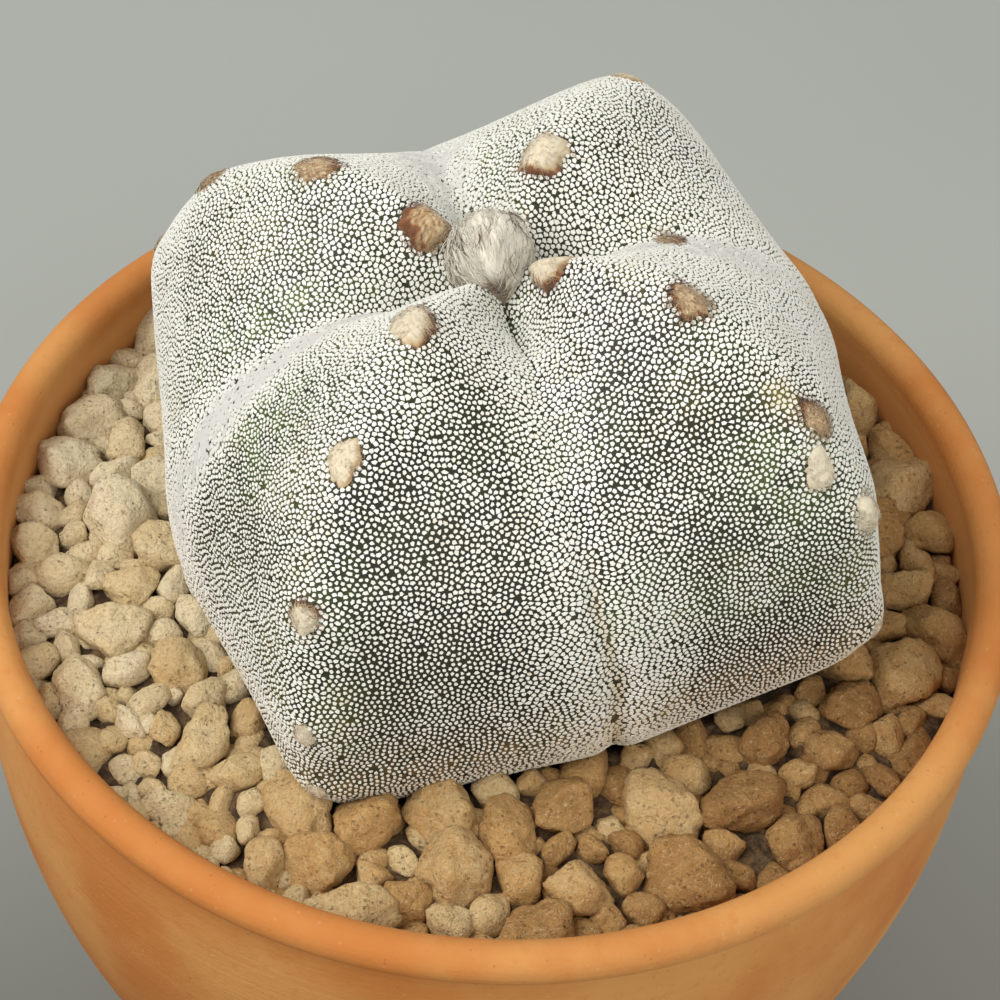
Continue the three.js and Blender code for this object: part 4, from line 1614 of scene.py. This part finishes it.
@dataclass
class Areoles:
    """The woolly pads along the crests: low, matted, brown-rimmed where they are young, with short hair."""

    form: RibbedForm
    hairs: int = 215
    hair_widths: tuple[float, float] = (0.018, 0.036)
    rings: int = 11
    columns: int = 40
    tip_reach: float = 0.32
    sunk_rim: float = 0.25
    young_patches: float = 0.2
    old_patches: float = 0.13
    seed: int = 31
    pads: tuple[Areole, ...] = (
        Areole(0, 15.7, 2.6, 2.6, Age.RIPE, 110, 25),
        Areole(0, 38, 2.2, 2.0, Age.OLD, 80, 20),
        Areole(0, 63, 1.7, 1.7, Age.RIPE, 180),
        Areole(0, 84, 1.5, 1.3, Age.SCAR, 0),
        Areole(0, 96, 1.2, 1.2, Age.OLD, 0),
        Areole(0.95, 6.2, 2.8, 2.5, Age.RIPE, -85, 90),
        Areole(1, 27, 2.2, 2.0, Age.YOUNG, -120, 150),
        Areole(1, 54, 2.1, 1.4, Age.YOUNG, 150, 180),
        Areole(0.956, 62.5, 2.3, 1.9, Age.SCAR, 0, 150),
        Areole(1, 74, 1.9, 1.6, Age.TUFT, 0, 180),
        Areole(1, 97, 1.2, 1.2, Age.OLD, 0),
        Areole(1.47, 25.5, 0.9, 1.0, Age.YOUNG, 0),
        Areole(2, 11, 2.7, 2.5, Age.RIPE, 185, -42),
        Areole(2, 43, 1.8, 1.9, Age.OLD, 200),
        Areole(2, 68, 1.5, 1.5, Age.OLD, 0),
        Areole(2, 88, 1.4, 1.3, Age.OLD, 0),
        Areole(3, 5.4, 2.9, 2.6, Age.YOUNG, 30, 30),
        Areole(3, 21, 2.5, 2.1, Age.YOUNG, -130),
        Areole(3, 45, 1.6, 1.4, Age.YOUNG, 0),
        Areole(3, 70, 1.6, 1.4, Age.YOUNG, 0),
        Areole(3, 90, 1.4, 1.3, Age.OLD, 0),
    )

    def browning(self, areole: Areole, share: Array, turn: Array) -> Array:
        """How brown the wool is over a pad: clean in the middle, brown along one side of the rim.

        Args:
            areole: The pad.
            share: Way from its middle, 0, to its rim, 1.
            turn: Direction from its middle, in radians from down the skin.

        Returns:
            The browning, 0 to 1.
        """
        rim, middle, _ = areole.age.value
        side = np.cos(turn - math.radians(areole.side))
        return middle + (rim - middle) * eased(share + 0.14 * side, 0.64, 1.0) * (0.64 + 0.36 * side)

    def outline(self, number: int, turn: Array) -> Array:
        """How far the rim of a pad reaches in each direction: a tip on one side, and small lobes."""
        circle = np.stack([np.cos(turn), np.sin(turn), 0 * turn], -1)
        tip = self.tip_reach * np.exp((np.cos(turn - math.radians(self.pads[number].tip)) - 1) / 0.12)
        return 0.96 + tip + 0.1 * ripples(circle, 1.4, number) + 0.07 * ripples(circle, 0.45, number)

    def pad(self, areole: Areole, number: int) -> Piece:
        """One pad: a low, matted mound that follows the skin, on rings from its middle to its rim.

        Args:
            areole: The pad.
            number: Its number, which seeds its lumps.

        Returns:
            Its closed surface.
        """
        share = np.linspace(0, 1, self.rings + 1)[1:, None]
        turn = np.linspace(0, 2 * np.pi, self.columns, endpoint=False)[None, :]
        reach = share * self.outline(number, turn)
        down, across = areole.down * reach * np.cos(turn), areole.across * reach * np.sin(turn)
        flat = np.stack([down, across, 0 * down], -1)
        matted = 0.06 * ripples(flat, 1.5, number + 10) + 0.03 * ripples(flat, 0.45, number + 20)
        height = (areole.high + matted) * (1 - share**4) - self.sunk_rim * share**8
        middle = np.zeros(2)
        tips = self.form.upon(areole.turn, areole.angle, middle, middle, np.array([areole.high, -0.5]))
        mound = self.form.upon(areole.turn, areole.angle, down, across, height).reshape(-1, 3)
        points = np.concatenate([mound, tips])
        count = self.rings * self.columns
        first, last = np.arange(self.columns), np.arange(count - self.columns, count)
        caps = [cap_faces(count, first, False), cap_faces(count + 1, last, True)]
        faces = [grid_faces(self.rings, self.columns), *caps]
        patches = self.young_patches if areole.age is Age.YOUNG else self.old_patches
        browned = self.browning(areole, share, turn) + patches * ripples(flat, 0.5, number + 30)
        browned = np.append(browned.ravel(), [areole.age.value[1]] * 2)
        return Piece("pad", self.form.placed(points), faces, {"browned": np.clip(browned, 0, 1)})

    def hair(self, areole: Areole, number: int) -> Piece:
        """The hair of one pad: short strands that lie in the wool, curl, and fray over its rim.

        Args:
            areole: The pad.
            number: Its number, which seeds its hair.

        Returns:
            The strands.
        """
        rng = np.random.default_rng(self.seed + number)
        length = areole.age.value[2] * rng.uniform(0.5, 1.1, (self.hairs, 1))
        turn = rng.uniform(0, 2 * np.pi, (self.hairs, 1))
        start = rng.uniform(0, 0.95, (self.hairs, 1)) ** 0.35 * self.outline(number, turn)
        share = np.linspace(0, 1, 4)[None, :]
        heading = turn + rng.normal(0, 0.9, (self.hairs, 1)) + share * rng.normal(0, 1.4, (self.hairs, 1))
        down = areole.down * start * np.cos(turn) + share * length * np.cos(heading)
        across = areole.across * start * np.sin(turn) + share * length * np.sin(heading)
        out = np.hypot(down / areole.down, across / areole.across)
        rise = rng.uniform(0, 1, (self.hairs, 1)) * areole.age.value[2]
        height = areole.high * (1 - np.clip(out, 0, 1) ** 4) + 0.02 + 0.2 * np.sin(np.pi * share) * rise
        lines = self.form.placed(self.form.upon(areole.turn, areole.angle, down, across, height))
        points, faces = strands(lines, rng.uniform(*self.hair_widths, self.hairs))
        browned = self.browning(areole, start, turn)[:, 0] + rng.normal(0, 0.09, self.hairs)
        each = len(points) // self.hairs
        return Piece("hair", points, [faces], {"browned": np.repeat(np.clip(browned, 0, 1), each)})

    def build(self) -> None:
        """Makes the pads and their hair."""
        tones = paint(226, 217, 194), paint(192, 165, 126), paint(130, 84, 54)
        felt = Felt("areole_felt", *tones).material()
        pads = [self.pad(areole, number) for number, areole in enumerate(self.pads)]
        hair = [self.hair(areole, number) for number, areole in enumerate(self.pads)]
        joined("areole_pads", pads).build(felt, "plant_wool")
        joined("areole_hair", hair).build(felt, "plant_wool")


@dataclass
class CrownWool:
    """The tuft in the crown's hollow: a soft dome with long hair combed down over it."""

    form: RibbedForm
    radius: float = 4.1
    height: float = 5.7
    base_z: float = 28.7
    hairs: int = 1300
    hair_lengths: tuple[float, float] = (0.2, 0.45)
    hair_widths: tuple[float, float] = (0.03, 0.055)
    root: tuple[float, float, float] = (-0.1, 0.9, 0.42)
    tip: tuple[float, float, float] = (0.24, -0.93, -0.1)
    bare_base: float = -0.25
    seed: int = 5
    # Dark tufts: partly dark fibre and partly painted shade in the gaps between hair bundles.
    dark_tufts_and_gap_shade: tuple[tuple[tuple[float, float, float], float], ...] = (
        ((0.6, 0.1, 0.75), 0.26),
        ((-0.75, -0.35, 0.5), 0.26),
        ((-0.1, -0.5, 0.75), 0.16),
        ((0.45, -0.75, 0.35), 0.16),
    )

    def dome(self, ways: Array) -> Array:
        """Takes directions to points of the dome, in the pot's frame."""
        own = ways * np.array([self.radius, self.radius, self.height]) + np.array([0, 0, self.base_z])
        return self.form.placed(own)

    def streaks(self, ways: Array, size: float, seed: int) -> Array:
        """Ripples that are drawn out along the hair: they change only across it, -1 to 1.

        Args:
            ways: Directions.
            size: Breadth of the widest streak, in radians.
            seed: Which streaks they are.

        Returns:
            The ripples.
        """
        root, tip = unit(np.array(self.root)), unit(np.array(self.tip))
        side = unit(np.cross(root, tip))
        around = np.arctan2(ways @ side, ways @ unit(np.cross(side, root - tip)))
        return ripples(np.stack([around, 0.12 * (ways @ (root - tip)), 0 * around], -1), size, seed)

    def core(self) -> Piece:
        """The dome: a ball with shallow furrows that run with the hair.

        Returns:
            Its surface.
        """
        ways, faces = ball(5)
        swollen = self.swollen(ways) + 0.012 * self.streaks(ways, 0.3, 43)
        browned = 0.06 + 0.12 * eased(self.streaks(ways, 0.3, 44), 0.45, 1.0) + 0.75 * self.stain(ways)
        # Dark patches on the dome under the dark tufts: partly dark fibre, partly painted shade.
        browned = browned + 0.4 * self.dark(ways) * eased(self.streaks(ways, 0.12, 45), -0.2, 0.6)
        marks = {"browned": np.clip(browned, 0, 1)}
        return Piece("crown_core", self.dome(ways * swollen[:, None]), [faces], marks)

    def swollen(self, ways: Array) -> Array:
        """How lumpy the dome is: ripples of two sizes."""
        return 0.97 + 0.06 * ripples(ways, 1.5, 41) + 0.025 * ripples(ways, 0.6, 42)

    def dark(self, ways: Array) -> Array:
        """How much dark hair there is, partly dark fibre and partly painted shade of the gaps between hair
        bundles: most in the middle of each dark tuft.
        """
        away = [np.linalg.norm(ways - unit(np.array(way)), axis=1) / size for way, size in self.dark_tufts_and_gap_shade]
        return np.clip(np.exp(-(np.array(away) ** 2)).sum(0), 0, 1)

    def stain(self, ways: Array) -> Array:
        """Brown at the foot of the tuft, where young fibre comes through at the front and at the left."""
        front = 0.75 * eased(ways @ unit(np.array([0.1, -0.95, -0.3])), 0.84, 0.97)
        return np.maximum(front, 0.5 * eased(ways @ unit(np.array([-0.85, -0.5, -0.3])), 0.9, 0.99))

    def hair(self) -> Piece:
        """Hair that is combed down the dome, from behind its top to a point at its foot.

        Each strand runs through a random place, along the great circle from root to tip there, with
        a bend of its own; a few loose ones stand off the dome.

        Returns:
            The strands.
        """
        rng = np.random.default_rng(self.seed)
        root, tip = unit(np.array(self.root)), unit(np.array(self.tip))
        middle = unit(rng.normal(size=(self.hairs * 3, 3)))
        middle = middle[middle @ np.array([0, -0.35, 0.94]) > self.bare_base][: self.hairs]
        count = len(middle)
        toward = tip - root - (middle @ (tip - root))[:, None] * middle
        toward = unit(toward + 0.2 * np.cross(middle, unit(toward)) + 0.45 * rng.normal(size=(count, 3)))
        sideways = np.cross(middle, toward)
        share = np.linspace(-1, 1, 6)[None, :, None]
        length = rng.uniform(*self.hair_lengths, (count, 1, 1))
        bend = rng.normal(0, 0.4, (count, 1, 1))
        ways = middle[:, None] + length * share * toward[:, None]
        ways = ways + length * bend * share**2 * sideways[:, None]
        loose = rng.uniform(0, 1, (count, 1, 1)) ** 9
        left = np.maximum(middle @ unit(np.array([-0.9, -0.3, -0.1])), 0)[:, None, None]
        reach = self.swollen(unit(ways))[..., None] - 0.005 + 0.015 * rng.uniform(0, 1, (count, 1, 1))
        reach = reach - 0.04 * np.abs(share) ** 3 + (0.14 * loose + 0.1 * left**3) * (1 + share)
        points, faces = strands(self.dome(unit(ways) * reach), rng.uniform(*self.hair_widths, count))
        streaked = 0.12 * eased(self.streaks(middle, 0.3, 44), 0.4, 0.9)
        browned = 0.06 + 0.04 * rng.normal(size=count) + streaked
        # Dark hair in the dark tufts: partly dark fibre, partly painted shade.
        darkened = rng.uniform(size=count) < 0.6 * self.dark(middle)
        browned = browned + 0.8 * darkened + 0.7 * self.stain(middle)
        each = len(points) // count
        return Piece("crown_hair", points, [faces], {"browned": np.repeat(np.clip(browned, 0, 1), each)})

    def build(self) -> None:
        """Makes the tuft."""
        tones = paint(238, 234, 220), paint(182, 172, 152), paint(112, 88, 68)
        felt = Felt("crown_felt", *tones, fuzz=0.6).material()
        self.core().build(felt, "plant_wool", "crown_wool")
        self.hair().build(felt, "plant_wool")


@dataclass(frozen=True)
class Softbox:
    """One square light that faces the plant: its place and side in millimetres, its power and colour."""

    name: str
    place: tuple[float, float, float]
    side: float
    watts: float
    tone: Colour
    aimed_z: float = 80

    def build(self) -> None:
        """Makes the light and turns it to the plant."""
        data = bpy.data.lights.new(self.name, "AREA")
        data.size, data.energy, data.color = self.side * MM, self.watts, self.tone
        made = bpy.data.objects.new(self.name, data)
        bpy.context.scene.collection.objects.link(made)
        made.location = Vector(self.place) * MM
        facing = Vector((0, 0, self.aimed_z * MM)) - made.location
        made.rotation_euler = facing.to_track_quat("-Z", "Y").to_euler()


@dataclass
class Studio:
    """The camera at the photograph's angle, soft light from the upper left, and a pale floor."""

    eye: tuple[float, float, float] = (0.5027, -195.8552, 309.168)
    right: tuple[float, float, float] = (0.9958, 0.0688, 0.0605)
    up: tuple[float, float, float] = (-0.0916, 0.7475, 0.6580)
    lens: float = 102.857
    sensor: float = 36
    lights: tuple[Softbox, ...] = (
        Softbox("window", (-420, -120, 620), 520, 4.25, (1.0, 0.98, 0.94)),
        Softbox("fill", (380, -480, 460), 600, 2.15, (1.0, 0.96, 0.9)),
    )
    room_tone: Colour = (1.0, 0.975, 0.93)
    room_strength: float = 0.45
    floor_side: float = 4000

    def camera(self) -> None:
        """Makes the camera from its eye, its right and its up."""
        data = bpy.data.cameras.new("camera")
        data.lens, data.sensor_width = self.lens, self.sensor
        made = bpy.data.objects.new("camera", data)
        bpy.context.scene.collection.objects.link(made)
        right = Vector(self.right).normalized()
        back = right.cross(Vector(self.up)).normalized()
        turned = Matrix((right, back.cross(right), back)).transposed().to_4x4()
        made.matrix_world = Matrix.Translation(Vector(self.eye) * MM) @ turned
        bpy.context.scene.camera = made

    def floor(self) -> None:
        """Makes the sheet that the pot stands on."""
        half = self.floor_side * MM / 2
        mesh = bpy.data.meshes.new("floor_sheet")
        corners = [(-half, -half, 0), (half, -half, 0), (half, half, 0), (-half, half, 0)]
        mesh.from_pydata(corners, [], [(0, 1, 2, 3)])
        made = bpy.data.objects.new("floor_sheet", mesh)
        bpy.context.scene.collection.objects.link(made)
        made.data.materials.append(StudioPaper().material())

    def build(self) -> None:
        """Makes the camera, the lights, the room's light and the floor."""
        self.camera()
        for light in self.lights:
            light.build()
        world = bpy.data.worlds.new("room")
        world.use_nodes = True
        glow = world.node_tree.nodes["Background"].inputs
        glow["Color"].default_value = (*self.room_tone, 1)
        glow["Strength"].default_value = self.room_strength
        bpy.context.scene.world = world
        self.floor()
        bpy.context.scene.view_settings.view_transform = "Standard"


def main() -> None:
    """Builds the scene piece by piece."""
    logging.basicConfig(level=logging.INFO, format="%(message)s", stream=sys.stdout)
    form = RibbedForm()
    pot = Pot()
    areoles = Areoles(form)
    for assembly in (Studio(), pot, Gravel(pot, form), CactusBody(form), areoles, CrownWool(form)):
        assembly.build()
    Flecks(form).build(areoles)


if __name__ == "__main__":
    main()
